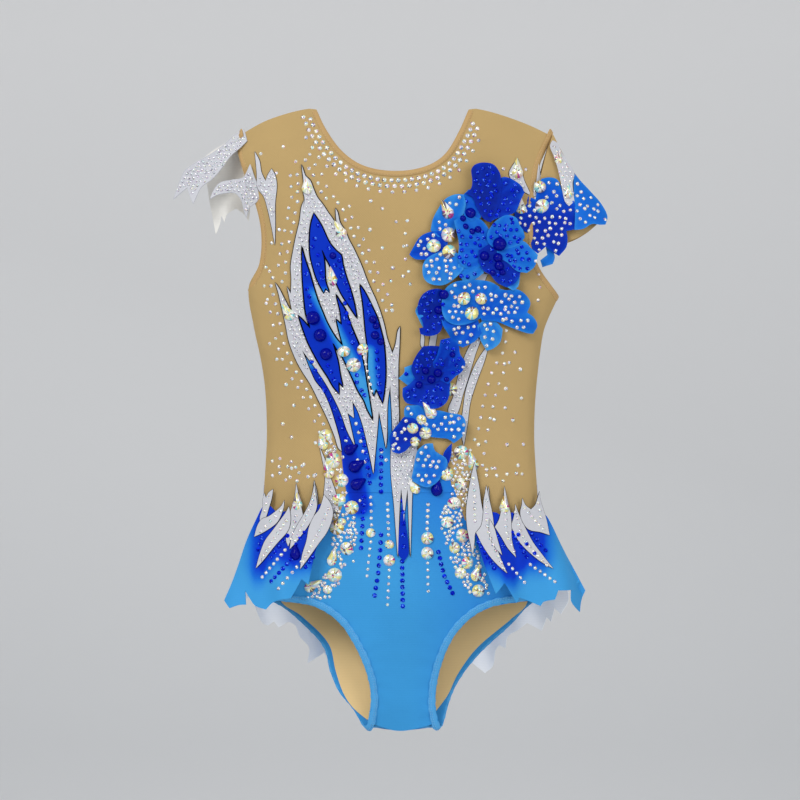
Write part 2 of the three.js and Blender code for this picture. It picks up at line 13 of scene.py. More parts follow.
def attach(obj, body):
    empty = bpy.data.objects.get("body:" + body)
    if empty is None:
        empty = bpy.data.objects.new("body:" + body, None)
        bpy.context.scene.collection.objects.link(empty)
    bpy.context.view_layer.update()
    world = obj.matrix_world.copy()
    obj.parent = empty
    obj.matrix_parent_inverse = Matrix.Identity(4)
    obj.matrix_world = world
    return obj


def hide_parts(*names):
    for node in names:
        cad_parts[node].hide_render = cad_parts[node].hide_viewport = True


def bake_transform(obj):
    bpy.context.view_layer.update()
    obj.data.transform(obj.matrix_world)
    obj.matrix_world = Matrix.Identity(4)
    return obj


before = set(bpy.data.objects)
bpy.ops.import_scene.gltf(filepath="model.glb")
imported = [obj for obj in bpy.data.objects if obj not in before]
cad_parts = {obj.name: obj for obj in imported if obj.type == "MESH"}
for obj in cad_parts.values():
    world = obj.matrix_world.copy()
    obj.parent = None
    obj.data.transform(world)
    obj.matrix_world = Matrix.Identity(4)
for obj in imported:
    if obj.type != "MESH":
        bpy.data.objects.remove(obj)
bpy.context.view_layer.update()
scene = bpy.context.scene
scene.view_settings.view_transform = "Standard"

# --- Camera ----------------------------------------------------------------------------------
# Straight on, level with the waist, two metres in front of the chest.
camera = bpy.data.objects.new("Camera", bpy.data.cameras.new("Camera"))
camera.data.sensor_width = 36
camera.data.lens = 96.8
camera.location = (0, -2.015, -0.2725)
camera.rotation_euler = (math.pi / 2, 0, 0)
scene.collection.objects.link(camera)
scene.camera = camera

# --- Studio ----------------------------------------------------------------------------------
# A pale grey floor that sweeps up far behind, under one large soft light from the upper left, a
# weaker one from the right, one from behind and a pale sky all round.


def sweep_mesh(near, far, floor, top, bend, half):
    """A floor and wall in one sheet: y from near to far at z = floor, then a quarter circle of
    radius bend, then straight up to top; half metres wide each way."""
    angle = np.linspace(0, math.pi / 2, 24)
    y = np.concatenate([[near], far - bend + bend * np.sin(angle), [far]])
    z = np.concatenate([[floor], floor + bend - bend * np.cos(angle), [top]])
    n = len(y)
    v = np.concatenate([np.stack([np.full(n, s * half), y, z], 1) for s in (-1, 1)])
    a = np.arange(n - 1)
    return v, np.stack([a, a + n, a + n + 1, a + 1], 1)


v, f = sweep_mesh(-9, 3.8, -1.7, 4.2, 0.5, 9)
mesh = bpy.data.meshes.new("Sweep")
mesh.from_pydata(v.tolist(), [], f.tolist())
mesh.shade_smooth()
sweep = bpy.data.objects.new("Sweep", mesh)
scene.collection.objects.link(sweep)
grey = bpy.data.materials.new("Pale grey paper")
grey.use_nodes = True
grey.node_tree.nodes["Principled BSDF"].inputs["Roughness"].default_value = 0.9
place = grey.node_tree.nodes.new("ShaderNodeTexCoord")
height = grey.node_tree.nodes.new("ShaderNodeSeparateXYZ")
# Painted light: the paper is painted darker on the floor and lighter up the wall, so that the wall looks more
# brightly lit than the floor.
fade = grey.node_tree.nodes.new("ShaderNodeMapRange")
fade.inputs["From Min"].default_value = -1.5
fade.inputs["From Max"].default_value = 0.7
painted_wall_light = grey.node_tree.nodes.new("ShaderNodeValToRGB")
painted_wall_light.color_ramp.elements[0].color = (0.70, 0.71, 0.72, 1)
painted_wall_light.color_ramp.elements[1].color = (0.88, 0.88, 0.88, 1)
for a, b in ((place.outputs["Object"], height.inputs["Vector"]), (height.outputs["Z"], fade.inputs["Value"]),
             (fade.outputs["Result"], painted_wall_light.inputs["Fac"]),
             (painted_wall_light.outputs["Color"], grey.node_tree.nodes["Principled BSDF"].inputs["Base Color"])):
    grey.node_tree.links.new(a, b)
mesh.materials.append(grey)

for name, place, aim, size, watts in (
    ("Key", (-1.6, -2.4, 1.7), (0, 0, -0.25), 1.5, 62),
    ("Fill", (2.0, -2.2, 0.2), (0, 0, -0.3), 1.8, 24),
    ("Back", (0.6, 2.4, 1.5), (0, 0, -0.3), 1.6, 42),
):
    lamp = bpy.data.objects.new(name, bpy.data.lights.new(name, "AREA"))
    lamp.data.size = size
    lamp.data.energy = watts
    lamp.location = place
    lamp.rotation_euler = (Vector(aim) - Vector(place)).to_track_quat("-Z", "Y").to_euler()
    scene.collection.objects.link(lamp)
world = bpy.data.worlds.new("Sky")
world.use_nodes = True
world.node_tree.nodes["Background"].inputs["Color"].default_value = (0.80, 0.81, 0.83, 1)
world.node_tree.nodes["Background"].inputs["Strength"].default_value = 0.62
scene.world = world

# --- Front and back bodice -------------------------------------------------------------------
# Two panels of nude power mesh, one layer each, sewn to the brief at the hip seam. The mesh is
# slightly see-through and has a fine knit of open cells.

# Height, left edge, right edge and half depth of the hanging garment, in mm.
LEVELS = np.array([
    (20, -152, 152, 6), (0, -152, 152, 8), (-60, -151, 152, 21), (-120, -150, 151, 26),
    (-160, -142, 149, 26), (-200, -135, 134, 25), (-250, -125, 126, 23), (-300, -122, 123, 22),
    (-360, -125, 126, 26), (-455, -131, 132, 28), (-520, -131, 132, 17), (-580, -131, 132, 5),
    (-605, -131, 132, 4),
], float)
SHOULDERS = [(-152, -26), (-127, -12), (-104, -4), (-85, 0), (71, 0), (92, -5), (120, -15), (143, -26)]


def level(z):
    """Left edge, right edge and half depth at heights z: cubic curves through LEVELS."""
    h, v = -LEVELS[:, 0], LEVELS[:, 1:]
    slope = np.gradient(v, h, axis=0)
    t = np.clip(-z, h[0], h[-1] - 1e-6)
    i = np.searchsorted(h, t, side="right") - 1
    step = (h[i + 1] - h[i])[:, None]
    u = (t - h[i])[:, None] / step
    return (
        (2 * u**3 - 3 * u**2 + 1) * v[i] + (u**3 - 2 * u**2 + u) * slope[i] * step
        + (3 * u**2 - 2 * u**3) * v[i + 1] + (u**3 - u**2) * slope[i + 1] * step
    ).T


def oval(x, side, middle, half, depth):
    """y and the outward direction on an ellipse of that half width and depth, at x."""
    u = np.clip((x - middle) / half, -1, 1)
    rise = np.sqrt(1 - u * u)
    nx, ny = u / half, side * (rise + 0.02) / depth
    return side * depth * rise, nx / np.hypot(nx, ny), ny / np.hypot(nx, ny), rise


def body(x, z, side):
    """The hanging body: an ellipse at each height, closing to a line at the shoulders and the
    crotch, with soft folds that fade out at the sides."""
    left, right, depth = level(z)
    top = np.interp(x, *zip(*SHOULDERS))
    depth = depth * np.sqrt(np.clip((top + 2 - z) / 26, 0.01, 1))
    depth = depth * np.sqrt(np.clip((z + 583) / 22, 0.01, 1))
    y, nx, ny, rise = oval(x, side, (left + right) / 2, (right - left) / 2 + 2, depth)
    folds = 1.3 * np.sin(x / 33 + z / 85 + side) * np.sin(z / 61 - x / 95 + 1)
    folds += 0.55 * np.sin((x * 0.9 + z * 0.5) / 15 + 2 * side) * np.sin(z / 40 + x / 70)
    return y, nx, ny, folds * np.minimum(rise * 1.6, 1) * np.clip(-z / 40, 0, 1)


def lay(shape, x, z, side, lift):
    """Points in metres that stand lift mm off a shape on its front (-1) or back (+1)."""
    y, nx, ny, folds = shape(x, z, side)
    return np.stack([x + nx * (lift + folds), y + ny * (lift + folds), z], 1) / 1000


def curve(points, step=3.0, closed=True):
    """A smooth line through points, in steps of about step mm. Where the line turns by over 50
    degrees it keeps a sharp corner."""
    p = np.array(points, float)
    before, after = np.roll(p, 1, 0), np.roll(p, -1, 0)
    if not closed:
        before[0], after[-1] = 2 * p[0] - p[1], 2 * p[-1] - p[-2]
    a, b = p - before, after - p
    turn = np.arctan2(a[:, 0] * b[:, 1] - a[:, 1] * b[:, 0], (a * b).sum(1))
    sharp = np.abs(turn) > math.radians(50)
    through = (after - before) / np.linalg.norm(after - before, axis=1)[:, None]
    line = []
    for i in range(len(p) if closed else len(p) - 1):
        j = (i + 1) % len(p)
        chord = p[j] - p[i]
        length = np.hypot(*chord)
        m0 = chord if sharp[i] else through[i] * length
        m1 = chord if sharp[j] else through[j] * length
        k = max(1, round(length / step))
        u = np.arange(k)[:, None] / k
        line.append((2 * u**3 - 3 * u**2 + 1) * p[i] + (u**3 - 2 * u**2 + u) * m0
                    + (3 * u**2 - 2 * u**3) * p[j] + (u**3 - u**2) * m1)
    return np.concatenate(line if closed else [*line, p[-1:]])


def inside(q, ring):
    """Which of the points q lie inside a ring: a line to the right crosses it an odd number of times."""
    x, z = q[:, :1], q[:, 1:]
    (ax, az), (bx, bz) = ring.T, np.roll(ring, -1, 0).T
    level_with = (az > z) != (bz > z)
    return (level_with & (x < (bx - ax) * (z - az) / (bz - az + 1e-9) + ax)).sum(1) % 2 == 1


def reach(q, line, closed=True):
    """Distance of each point q to a line."""
    a = line if closed else line[:-1]
    d = (np.roll(line, -1, 0) if closed else line[1:]) - a
    t = np.clip(((q[:, None] - a) * d).sum(2) / np.maximum((d * d).sum(1), 1e-9), 0, 1)
    return np.linalg.norm(q[:, None] - a - t[..., None] * d, axis=2).min(1)


def cut(outline, side, lift, thick=0.8, shape=body, grid=4.0, rise=None):
    """A piece of cloth cut to an outline in x and z (mm) and laid on a shape, thick mm thick. It is
    filled with an even net of triangles. rise(q) adds height in mm. Returns points, triangles,
    and for each point its place before it was laid and its distance from the edge."""
    ring = curve(outline, min(grid, 3.0))
    lo, hi = ring.min(0), ring.max(0)
    gx, gz = np.meshgrid(np.arange(lo[0], hi[0], grid), np.arange(lo[1], hi[1], grid * 0.87))
    gx[1::2] += grid / 2
    q = np.stack([gx.ravel(), gz.ravel()], 1)
    q = q[inside(q, ring)]
    q = q[reach(q, ring) > grid * 0.45]
    found = delaunay_2d_cdt([Vector(p) for p in np.concatenate([ring, q])], [],
                            [list(range(len(ring)))], 1, 1e-5)
    q = np.array([tuple(p) for p in found[0]])
    tri = np.array(found[2])
    edge = np.concatenate([tri[:, [0, 1]], tri[:, [1, 2]], tri[:, [2, 0]]])
    key = np.sort(edge, 1)
    _, first, times = np.unique(key[:, 0] * len(q) + key[:, 1], return_index=True, return_counts=True)
    rim = edge[first[times == 1]]
    extra = 0 if rise is None else rise(q)
    v = np.concatenate([lay(shape, *q.T, side, lift + thick + extra), lay(shape, *q.T, side, lift + extra)])
    n = len(q)
    wall = np.concatenate([np.stack([rim[:, 1], rim[:, 0], rim[:, 0] + n], 1),
                           np.stack([rim[:, 1], rim[:, 0] + n, rim[:, 1] + n], 1)])
    f = np.concatenate([tri, tri[:, ::-1] + n, wall])
    if side > 0:
        f = f[:, ::-1]
    return v, f, np.concatenate([q, q]), np.tile(reach(q, ring), 2)


def build(name, parts, material, dye=None, smooth=40):
    """One mesh of several parts. dye(q, edge) gives the strength of the print at each point."""
    starts = np.cumsum([0] + [len(p[0]) for p in parts])
    v = np.concatenate([p[0] for p in parts])
    f = np.concatenate([p[1] + s for p, s in zip(parts, starts)])
    mesh = bpy.data.meshes.new(name)
    mesh.vertices.add(len(v))
    mesh.vertices.foreach_set("co", v.ravel())
    mesh.loops.add(f.size)
    mesh.loops.foreach_set("vertex_index", f.ravel().astype(np.int32))
    mesh.polygons.add(len(f))
    mesh.polygons.foreach_set("loop_start", np.arange(0, f.size, 3, dtype=np.int32))
    mesh.update(calc_edges=True)
    mesh.validate()
    if dye is not None:
        strength = mesh.attributes.new("dye", "FLOAT", "POINT")
        amount = np.concatenate([np.broadcast_to(dye(p[2], p[3]), len(p[0])) for p in parts])
        strength.data.foreach_set("value", amount.astype(np.float32))
    if smooth:
        mesh.shade_smooth()
        mesh.set_sharp_from_angle(angle=math.radians(smooth))
    mesh.materials.append(material)
    thing = bpy.data.objects.new(name, mesh)
    scene.collection.objects.link(thing)
    return thing


def linear(*rgb):
    """A colour from its 0 to 255 screen values."""
    c = np.array(rgb) / 255
    return (*np.where(c < 0.04045, c / 12.92, ((c + 0.055) / 1.055) ** 2.4), 1)


def textile(name, colours, pitch, depth, rough=0.75, sheen=0.15, alpha=1.0, turn=0.0, shade=0.16,
            cell=False, shine=0.2):
    """A cloth. colours run from dye 0 to dye 1. pitch is the distance between its yarns in metres and
    depth how far they stand out; cell gives the open cells of a net in place of ribs."""
    made = bpy.data.materials.new(name)
    made.use_nodes = True
    tree = made.node_tree
    new, link = tree.nodes.new, tree.links.new
    bsdf = tree.nodes["Principled BSDF"]
    bsdf.inputs["Roughness"].default_value = rough
    bsdf.inputs["Sheen Weight"].default_value = sheen
    bsdf.inputs["Sheen Roughness"].default_value = 0.4
    bsdf.inputs["Specular IOR Level"].default_value = shine
    bsdf.inputs["Alpha"].default_value = alpha
    place = new("ShaderNodeTexCoord")
    turned = new("ShaderNodeMapping")
    turned.inputs["Rotation"].default_value = (0, turn, 0)
    link(place.outputs["Object"], turned.inputs["Vector"])
    yarn = new("ShaderNodeMath")
    yarn.operation = "MULTIPLY" if cell else "MAXIMUM"
    for k, way in enumerate("XZ"):
        rib = new("ShaderNodeTexWave")
        rib.bands_direction = way
        rib.inputs["Scale"].default_value = 0.314 / pitch / (1 if k == 0 or cell else 1.8)
        rib.inputs["Distortion"].default_value = 0.4
        rib.inputs["Detail"].default_value = 0
        link(turned.outputs["Vector"], rib.inputs["Vector"])
        link(rib.outputs["Fac"], yarn.inputs[k])
    cloud = new("ShaderNodeTexNoise")
    cloud.inputs["Scale"].default_value = 14
    cloud.inputs["Detail"].default_value = 3
    link(place.outputs["Object"], cloud.inputs["Vector"])
    ramp = new("ShaderNodeValToRGB")
    while len(ramp.color_ramp.elements) < len(colours):
        ramp.color_ramp.elements.new(0.5)
    for k, colour in enumerate(colours):
        ramp.color_ramp.elements[k].position = k / max(len(colours) - 1, 1)
        ramp.color_ramp.elements[k].color = linear(*colour)
    dye = new("ShaderNodeAttribute")
    dye.attribute_name = "dye"
    link(dye.outputs["Fac"], ramp.inputs["Fac"])
    uneven = new("ShaderNodeMath")
    uneven.operation = "MULTIPLY_ADD"
    uneven.inputs[1].default_value = 0.22
    uneven.inputs[2].default_value = -0.07
    link(cloud.outputs["Fac"], uneven.inputs[0])
    # Painted shade: by shade, the hollows between the yarns and a net's open cells are painted darker and the
    # yarn tops lighter, on top of the bump.
    dark = new("ShaderNodeMath")
    dark.operation = "MULTIPLY_ADD"
    dark.inputs[1].default_value = -shade if cell else shade * -0.6
    link(yarn.outputs[0], dark.inputs[0])
    link(uneven.outputs[0], dark.inputs[2])
    mix = new("ShaderNodeMix")
    mix.data_type = "RGBA"
    mix.blend_type = "MULTIPLY"
    tone = new("ShaderNodeMath")
    tone.operation = "SUBTRACT"
    tone.inputs[0].default_value = 1.05
    link(dark.outputs[0], tone.inputs[1])
    mix.inputs["Factor"].default_value = 1
    link(ramp.outputs["Color"], mix.inputs["A"])
    link(tone.outputs[0], mix.inputs["B"])
    link(mix.outputs["Result"], bsdf.inputs["Base Color"])
    bump = new("ShaderNodeBump")
    bump.inputs["Strength"].default_value = 0.5
    bump.inputs["Distance"].default_value = depth
    link(yarn.outputs[0], bump.inputs["Height"])
    link(bump.outputs["Normal"], bsdf.inputs["Normal"])
    return made


def sheet(thing, outlines, held, *rests_on):
    """Works out the rectangle that a cloth is cut from, 1 mm larger all round, and its own area, both from
    its outlines; the rectangle is at most three times the area. Nothing is done with them."""
    rings = [curve(o, 3) for o in outlines]
    area = sum(abs(np.sum(r[:, 0] * np.roll(r[:, 1], -1) - np.roll(r[:, 0], -1) * r[:,
        1])) / 2 for r in rings)
    width, length = np.ptp(np.concatenate(rings), axis=0) + 2
    length = min(length, area * 3 / width)


NECK_FRONT = [(-78, -1), (-69, -20), (-54, -41), (-35, -54.5), (-8, -60), (20, -57), (40, -46), (54, -24),
              (64, -1)]
NECK_BACK = [(-78, -1), (-70, -22), (-56, -46), (-35, -61), (-8, -67), (20, -63), (40, -51), (55, -26),
             (64, -1)]
ARM_LEFT = [(-151, -26), (-152, -38), (-146, -59), (-134, -92), (-129, -118), (-131, -146), (-141, -168)]
ARM_RIGHT = [(143, -26), (138, -36), (130, -55), (125, -86), (124, -118), (128, -146), (148, -175)]
HIP = -351.0


def sides(top, bottom):
    """The left and right silhouette between two heights, each from the top down."""
    z = np.linspace(top, bottom, 9)
    left, right, _ = level(z)
    return np.stack([left - 2, z], 1).tolist(), np.stack([right + 2, z], 1).tolist()


power_mesh = textile("Nude power mesh", [(183, 155, 104)], 0.0011, 0.0002, rough=0.85, sheen=0.1,
                     alpha=0.93, turn=0.785, shade=0.22, cell=True)
bodices = []
for name, neck, side, waist in (
    ("front_bodice", NECK_FRONT, -1, [(60, -388), (50, -354), (-48, -354), (-58, -388)]),
    ("back_bodice", NECK_BACK, 1, [(0, HIP)]),
):
    left_side, right_side = sides(-180, waist[0][1])
    outline = (neck + SHOULDERS[4:] + ARM_RIGHT[1:] + right_side[1:] + waist + left_side[1:][::-1]
               + ARM_LEFT[::-1][:-1] + SHOULDERS[:4])
    bodices.append(build(name + "_cloth", [cut(outline, side, 0, 0.7, grid=4.5)], power_mesh,
                         dye=lambda q, e: 0.0))
    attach(bodices[-1], "root")
    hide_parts(name)
    sheet(bodices[-1], [outline], "hung", "neck_binding_fold")
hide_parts("shoulder_seam_left", "shoulder_seam_right")

# --- Side seams ------------------------------------------------------------------------------
# A narrow overlocked ridge of the same mesh down each side, and its thread.


def tube(line, out, wide, thick, corners=8, closed=True):
    """A band of rounded section swept along a line in metres: wide mm along `out` from its inner
    edge and thick mm through. Returns points, triangles, and the two directions of its section."""
    along = np.roll(line, -1, 0) - np.roll(line, 1, 0)
    if not closed:
        along[0], along[-1] = line[1] - line[0], line[-1] - line[-2]
    along /= np.linalg.norm(along, axis=1)[:, None]
    out = out - (out * along).sum(1)[:, None] * along
    out /= np.linalg.norm(out, axis=1)[:, None]
    through = np.cross(along, out)
    a = np.arange(corners) * 2 * math.pi / corners
    c, s = np.cos(a), np.sin(a)
    c, s = np.sign(c) * np.abs(c) ** 0.6, np.sign(s) * np.abs(s) ** 0.6
    v = (line[:, None] + out[:, None] * ((c + 1) * wide / 2000)[:, None]
         + through[:, None] * (s * thick / 2000)[:, None]).reshape(-1, 3)
    i, k = np.meshgrid(np.arange(len(line) if closed else len(line) - 1), np.arange(corners), indexing="ij")
    p, q = (i * corners + k).ravel(), (i * corners + (k + 1) % corners).ravel()
    r, t = (((i + 1) % len(line) * corners + (k + 1) % corners).ravel(),
            ((i + 1) % len(line) * corners + k).ravel())
    f = np.concatenate([np.stack([p, q, r], 1), np.stack([p, r, t], 1)])
    if not closed:
        k = np.arange(1, corners - 1)
        last = (len(line) - 1) * corners
        f = np.concatenate([f, np.stack([0 * k, k + 1, k], 1), last + np.stack([0 * k, k, k + 1], 1)])
    return v, f, np.zeros((len(v), 2)), np.zeros(len(v)), out, through


def threads(line, across, up, every, long, wide=0.45, tall=0.3, lean=0.0):
    """Stitches in metres along a line: flat six-sided beads, one every so many mm."""
    lengths = np.concatenate([[0], np.cumsum(np.linalg.norm(np.diff(line, axis=0), axis=1))]) * 1000
    at = np.arange(every / 2, lengths[-1], every)
    pick = lambda a: np.stack([np.interp(at, lengths, a[:, k]) for k in range(3)], 1)
    middle, across, up = pick(line), pick(across), pick(up)
    along = pick(np.gradient(line, axis=0))
    along /= np.linalg.norm(along, axis=1)[:, None]
    swing = lean * np.where(np.arange(len(at)) % 2, 1, -1)[:, None]
    along, across = along + across * swing, across - along * swing
    corner = np.array([(-1, 0, 0), (-0.6, 1, 0), (0.6, 1, 0), (1, 0, 0), (0.6, -1, 0), (-0.6, -1, 0),
                       (0, 0, 1)])
    v = (middle[:, None] + along[:, None] * corner[:, :1] * long / 2000
         + across[:, None] * corner[:, 1:2] * wide / 2000 + up[:, None] * corner[:, 2:] * tall / 1000)
    k = np.arange(6)
    fan = np.concatenate([np.stack([k, (k + 1) % 6, 0 * k + 6], 1),
                          [[0, 5, 4], [0, 4, 3], [0, 3, 2], [0, 2, 1]]])
    f = (np.arange(len(at))[:, None, None] * 7 + fan).reshape(-1, 3)
    return v.reshape(-1, 3), f, np.zeros((len(at) * 7, 2)), np.zeros(len(at) * 7)


seam_mesh = textile("Nude seam", [(172, 143, 94)], 0.0012, 0.0002, rough=0.85)
nude_thread = textile("Nude thread", [(205, 178, 130)], 0.0005, 0.00005, rough=0.6)
for name, way in (("left", -1), ("right", 1)):
    z = np.linspace(-178, -452, 70)
    left, right, _ = level(z)
    line = np.stack([(left - 2.6 if way < 0 else right + 2.6), 0 * z, z], 1) / 1000
    out = np.tile([-way, 0.0, 0.0], (len(z), 1))
    ridge = tube(line, out, 2.6, 1.6, closed=False)
    seam = build(f"side_seam_{name}_ridge", [ridge[:4]], seam_mesh, dye=lambda q, e: 0.0, smooth=60)
    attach(seam, "root")
    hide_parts(f"side_seam_{name}")
    stitch = build(f"side_seam_{name}_stitches", [
        threads(line + out * 0.0013 + [0, s * 0.0009, 0], np.tile([1.0, 0, 0], (70, 1)),
                np.tile([0.0, s, 0], (70, 1)), 2.6, 2.2) for s in (-1, 1)], nude_thread, smooth=0)
    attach(stitch, "root")

# --- Neck and armhole bindings -----------------------------------------------------------------
# Strips of nude lycra folded over the raw edge of each opening, with a row of stitches.


def round_opening(front, back, centre, ends, step=2.5):
    """The closed line round an opening, along its front edge and back along its back edge, evened
    out and smoothed, and the outward direction at each point."""
    f, b = curve(front, 2.5, closed=False), curve(back, 2.5, closed=False)[::-1]
    line = np.concatenate([lay(body, *f.T, -1, 0.35), [ends[1]], lay(body, *b.T, 1, 0.35), [ends[0]]])
    ring = np.concatenate([line, line[:1]])
    length = np.concatenate([[0], np.cumsum(np.linalg.norm(np.diff(ring, axis=0), axis=1))])
    at = np.linspace(0, length[-1], int(length[-1] * 1000 / step), endpoint=False)
    line = np.stack([np.interp(at, length, ring[:, k]) for k in range(3)], 1)
    for _ in range(3):
        line = (np.roll(line, 1, 0) + 2 * line + np.roll(line, -1, 0)) / 4
    return line, line - np.array([centre[0], 0, centre[1]]) / 1000


nude_lycra = textile("Nude lycra binding", [(181, 148, 98)], 0.0009, 0.0001, rough=0.6, sheen=0.2)
for name, front, back, centre, ends, wide in (
    ("neck_binding", NECK_FRONT, NECK_BACK, (-7, 8), [(-0.079, 0, 0.0005), (0.065, 0, 0.0005)], 5.5),
    ("armhole_binding_left", ARM_LEFT, ARM_LEFT, (-185, -95), [(-0.150, 0, -0.021), (-0.143, 0, -0.170)],
     5.5),
    ("armhole_binding_right", ARM_RIGHT, ARM_RIGHT, (185, -95), [(0.143, 0, -0.021), (0.150, 0, -0.177)],
     5.5),
):
    line, out = round_opening(front, back, centre, ends)
    band = tube(line, out, wide, 2.0)
    binding = build(name + "_fold", [band[:4]], nude_lycra, dye=lambda q, e: 0.0, smooth=60)
    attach(binding, "root")
    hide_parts(name)
    ring = [np.concatenate([a, a[:1]]) for a in (line + band[4] * wide * 0.00078, band[4], band[5])]
    stitch = build(name + "_stitches", [
        threads(ring[0] + s * ring[2] * 0.00095, ring[1], s * ring[2], 2.8, 2.2) for s in (-1, 1)],
        nude_thread, smooth=0)
    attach(stitch, "root")

# --- Front brief and centre panel ----------------------------------------------------------------
# Sky-blue stretch satin, printed from royal at the foot of the flames to sky. The brief runs up in
# one piece into the flames between the flowers and the hip. The leg edges are slightly gathered.

LEG_FRONT_LEFT = [(-130, -458), (-104, -460), (-79, -464), (-57, -478), (-42, -500), (-31, -526),
                  (-27, -550), (-30, -574)]
LEG_BACK_LEFT = [(-130, -458), (-112, -467), (-94, -482), (-72, -506), (-66, -528), (-57, -548),
                 (-45, -562), (-35, -578)]
LEG_FRONT_RIGHT = [(131, -458), (112, -460), (86, -464), (68, -473), (52, -489), (42, -508), (35, -532),
                   (33, -556), (36, -574)]
LEG_BACK_RIGHT = [(131, -458), (118, -469), (105, -484), (77, -510), (60, -530), (49, -549), (40, -578)]
ROYAL_FOOT = np.array([(-78, -252), (-63, -280), (-52, -309.5), (-43, -341.5), (-37, -370)])
AZURE_FOOT = np.array([(-41, -280), (-33.5, -309.5), (-29, -337.5)])


def gathers(q):
    """Small folds square to the leg edges, dying out 22 mm from them."""
    high = 0
    for centre, edge in (((-100, -525), LEG_FRONT_LEFT), ((100, -525), LEG_FRONT_RIGHT)):
        away = reach(q, curve(edge, 6, closed=False), closed=False)
        angle = np.arctan2(q[:, 1] - centre[1], q[:, 0] - centre[0])
        high = high + 0.8 * np.exp(-away / 11) * np.sin(angle * 34 + 2 * np.sin(angle * 5))
    return high


def foot_print_and_side_shade(q, edge):
    """Royal along the foot of the left flame, azure beside it and sky elsewhere, a little deeper towards the
    top, and towards the right as painted shade.
    """
    royal = np.clip(1.35 - reach(q, ROYAL_FOOT, closed=False) / 11, 0, 1)
    azure = np.clip(1.4 - reach(q, AZURE_FOOT, closed=False) / 9, 0, 0.55)
    # A little deeper to the right, which is painted shade on the side away from the light, and towards the
    # hip seam at the top.
    side = 0.12 * np.clip((q[:, 0] - 10) / 60, 0, 1) + 0.20 * np.clip((q[:, 1] + 430) / 80, 0, 1)
    return np.maximum(np.maximum(royal, azure), side)


BLUES = [(60, 150, 212), (24, 108, 206), (4, 54, 196), (6, 42, 172)]
satin = textile("Printed stretch satin", BLUES, 0.0009, 0.00012, rough=0.5, sheen=0.0, shade=0.08, shine=0.06)
left_brief, right_brief = sides(-384, -454)
BRIEF = (right_brief + LEG_FRONT_RIGHT + [(0, -582)] + LEG_FRONT_LEFT[::-1] + left_brief[::-1]
         + [(-58, -384), (-47, -352), (49, -352), (60, -384)])
CENTRE = [
    (-91, -225), (-86.5, -233.5), (-77.5, -244), (-70, -255), (-64, -264), (-59, -274.5),
    (-53.5, -287.5), (-49, -300.5), (-42.5, -313.5), (-44, -303), (-46.5, -292.5),
    (-48.5, -284.5), (-42.5, -289), (-44, -273), (-39, -282.5), (-34.5, -295.5),
    (-31, -309.5), (-27.5, -325.5), (-24.5, -339.5), (-23, -323.5), (-21.5, -308),
    (-20, -292.5), (-19.5, -282.5), (-16.5, -295), (-14.5, -306.5), (-12, -318),
    (-11.5, -307), (-11.5, -292.5), (-11, -277), (-8.5, -258.5), (-7, -272.5),
    (-6.5, -296.5), (-5.5, -309.5), (11, -321), (30, -319), (43, -330), (46.5, -347),
    (48.5, -358), (-49.5, -358), (-53, -334), (-54.5, -315.5), (-56, -308), (-60, -294),
    (-64.5, -279.5), (-71.5, -264), (-79, -254), (-84.5, -240.5), (-90, -229.5),
]
front_brief = build("front_brief_cloth", [cut(BRIEF, -1, 0, 0.9, grid=4.5, rise=gathers), cut(CENTRE, -1,
    0.9, 0.6, grid=3.0)],
                    satin, dye=foot_print_and_side_shade)
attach(front_brief, "root")
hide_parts("front_brief", "centre_panel")
sheet(front_brief, [BRIEF, CENTRE], "hung", "front_bodice_cloth")

# --- Back brief --------------------------------------------------------------------------------
# The same satin, plain sky.
left_brief, right_brief = sides(HIP - 1, -454)
outline = right_brief + LEG_BACK_RIGHT + [(0, -582)] + LEG_BACK_LEFT[::-1] + left_brief[::-1]
back_brief = build("back_brief_cloth", [cut(outline, 1, 0, 0.9, grid=5.0)], satin,
                   dye=lambda q, e: 0.05 + 0.3 * np.clip((q[:, 1] + 420) / 70, 0, 1))
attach(back_brief, "root")
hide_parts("back_brief")
sheet(back_brief, [outline], "hung", "back_bodice_cloth")

# --- Linings -----------------------------------------------------------------------------------
# Nude knit inside the back brief and the crotch, loose at its upper edge. At the leg it ends where
# the elastic's binding begins.
def beside_leg(points, centre, gap):
    """Points moved gap mm into the garment, away from the middle of the leg opening."""
    away = np.array(points, float) - centre
    return (np.array(points) + away / np.hypot(*away.T)[:, None] * gap).tolist()


# The lining is a paler nude than the mesh, and it is painted paler still: painted light that makes up for the
# shade inside the leg openings.
lightened_lining_knit = textile("Nude lining", [(226, 196, 142)], 0.0008, 0.0001, rough=0.85)
for name, outline, side in (
    ("brief_lining", beside_leg(LEG_BACK_RIGHT[1:-1], (100, -525), 5.5) + [(22, -578), (-18, -578)]
     + beside_leg(LEG_BACK_LEFT[1:-1], (-100, -525), 5.5)[::-1] + [(-120, -430), (-112, -374), (112, -374),
         (121, -430)], 1),
    ("crotch_gusset", [(22, -476), (21, -520), (22, -574), (-17, -574), (-17, -520), (-20, -476)], -1),
):
    lining = build(name + "_cloth", [cut(outline, side, -1.3, 0.6, grid=6.0)], lightened_lining_knit, dye=lambda q,
                   e: 0.0)
    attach(lining, "root")
    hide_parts(name)
    sheet(lining, [outline], "stretched", "back_brief_cloth" if side > 0 else "front_brief_cloth")

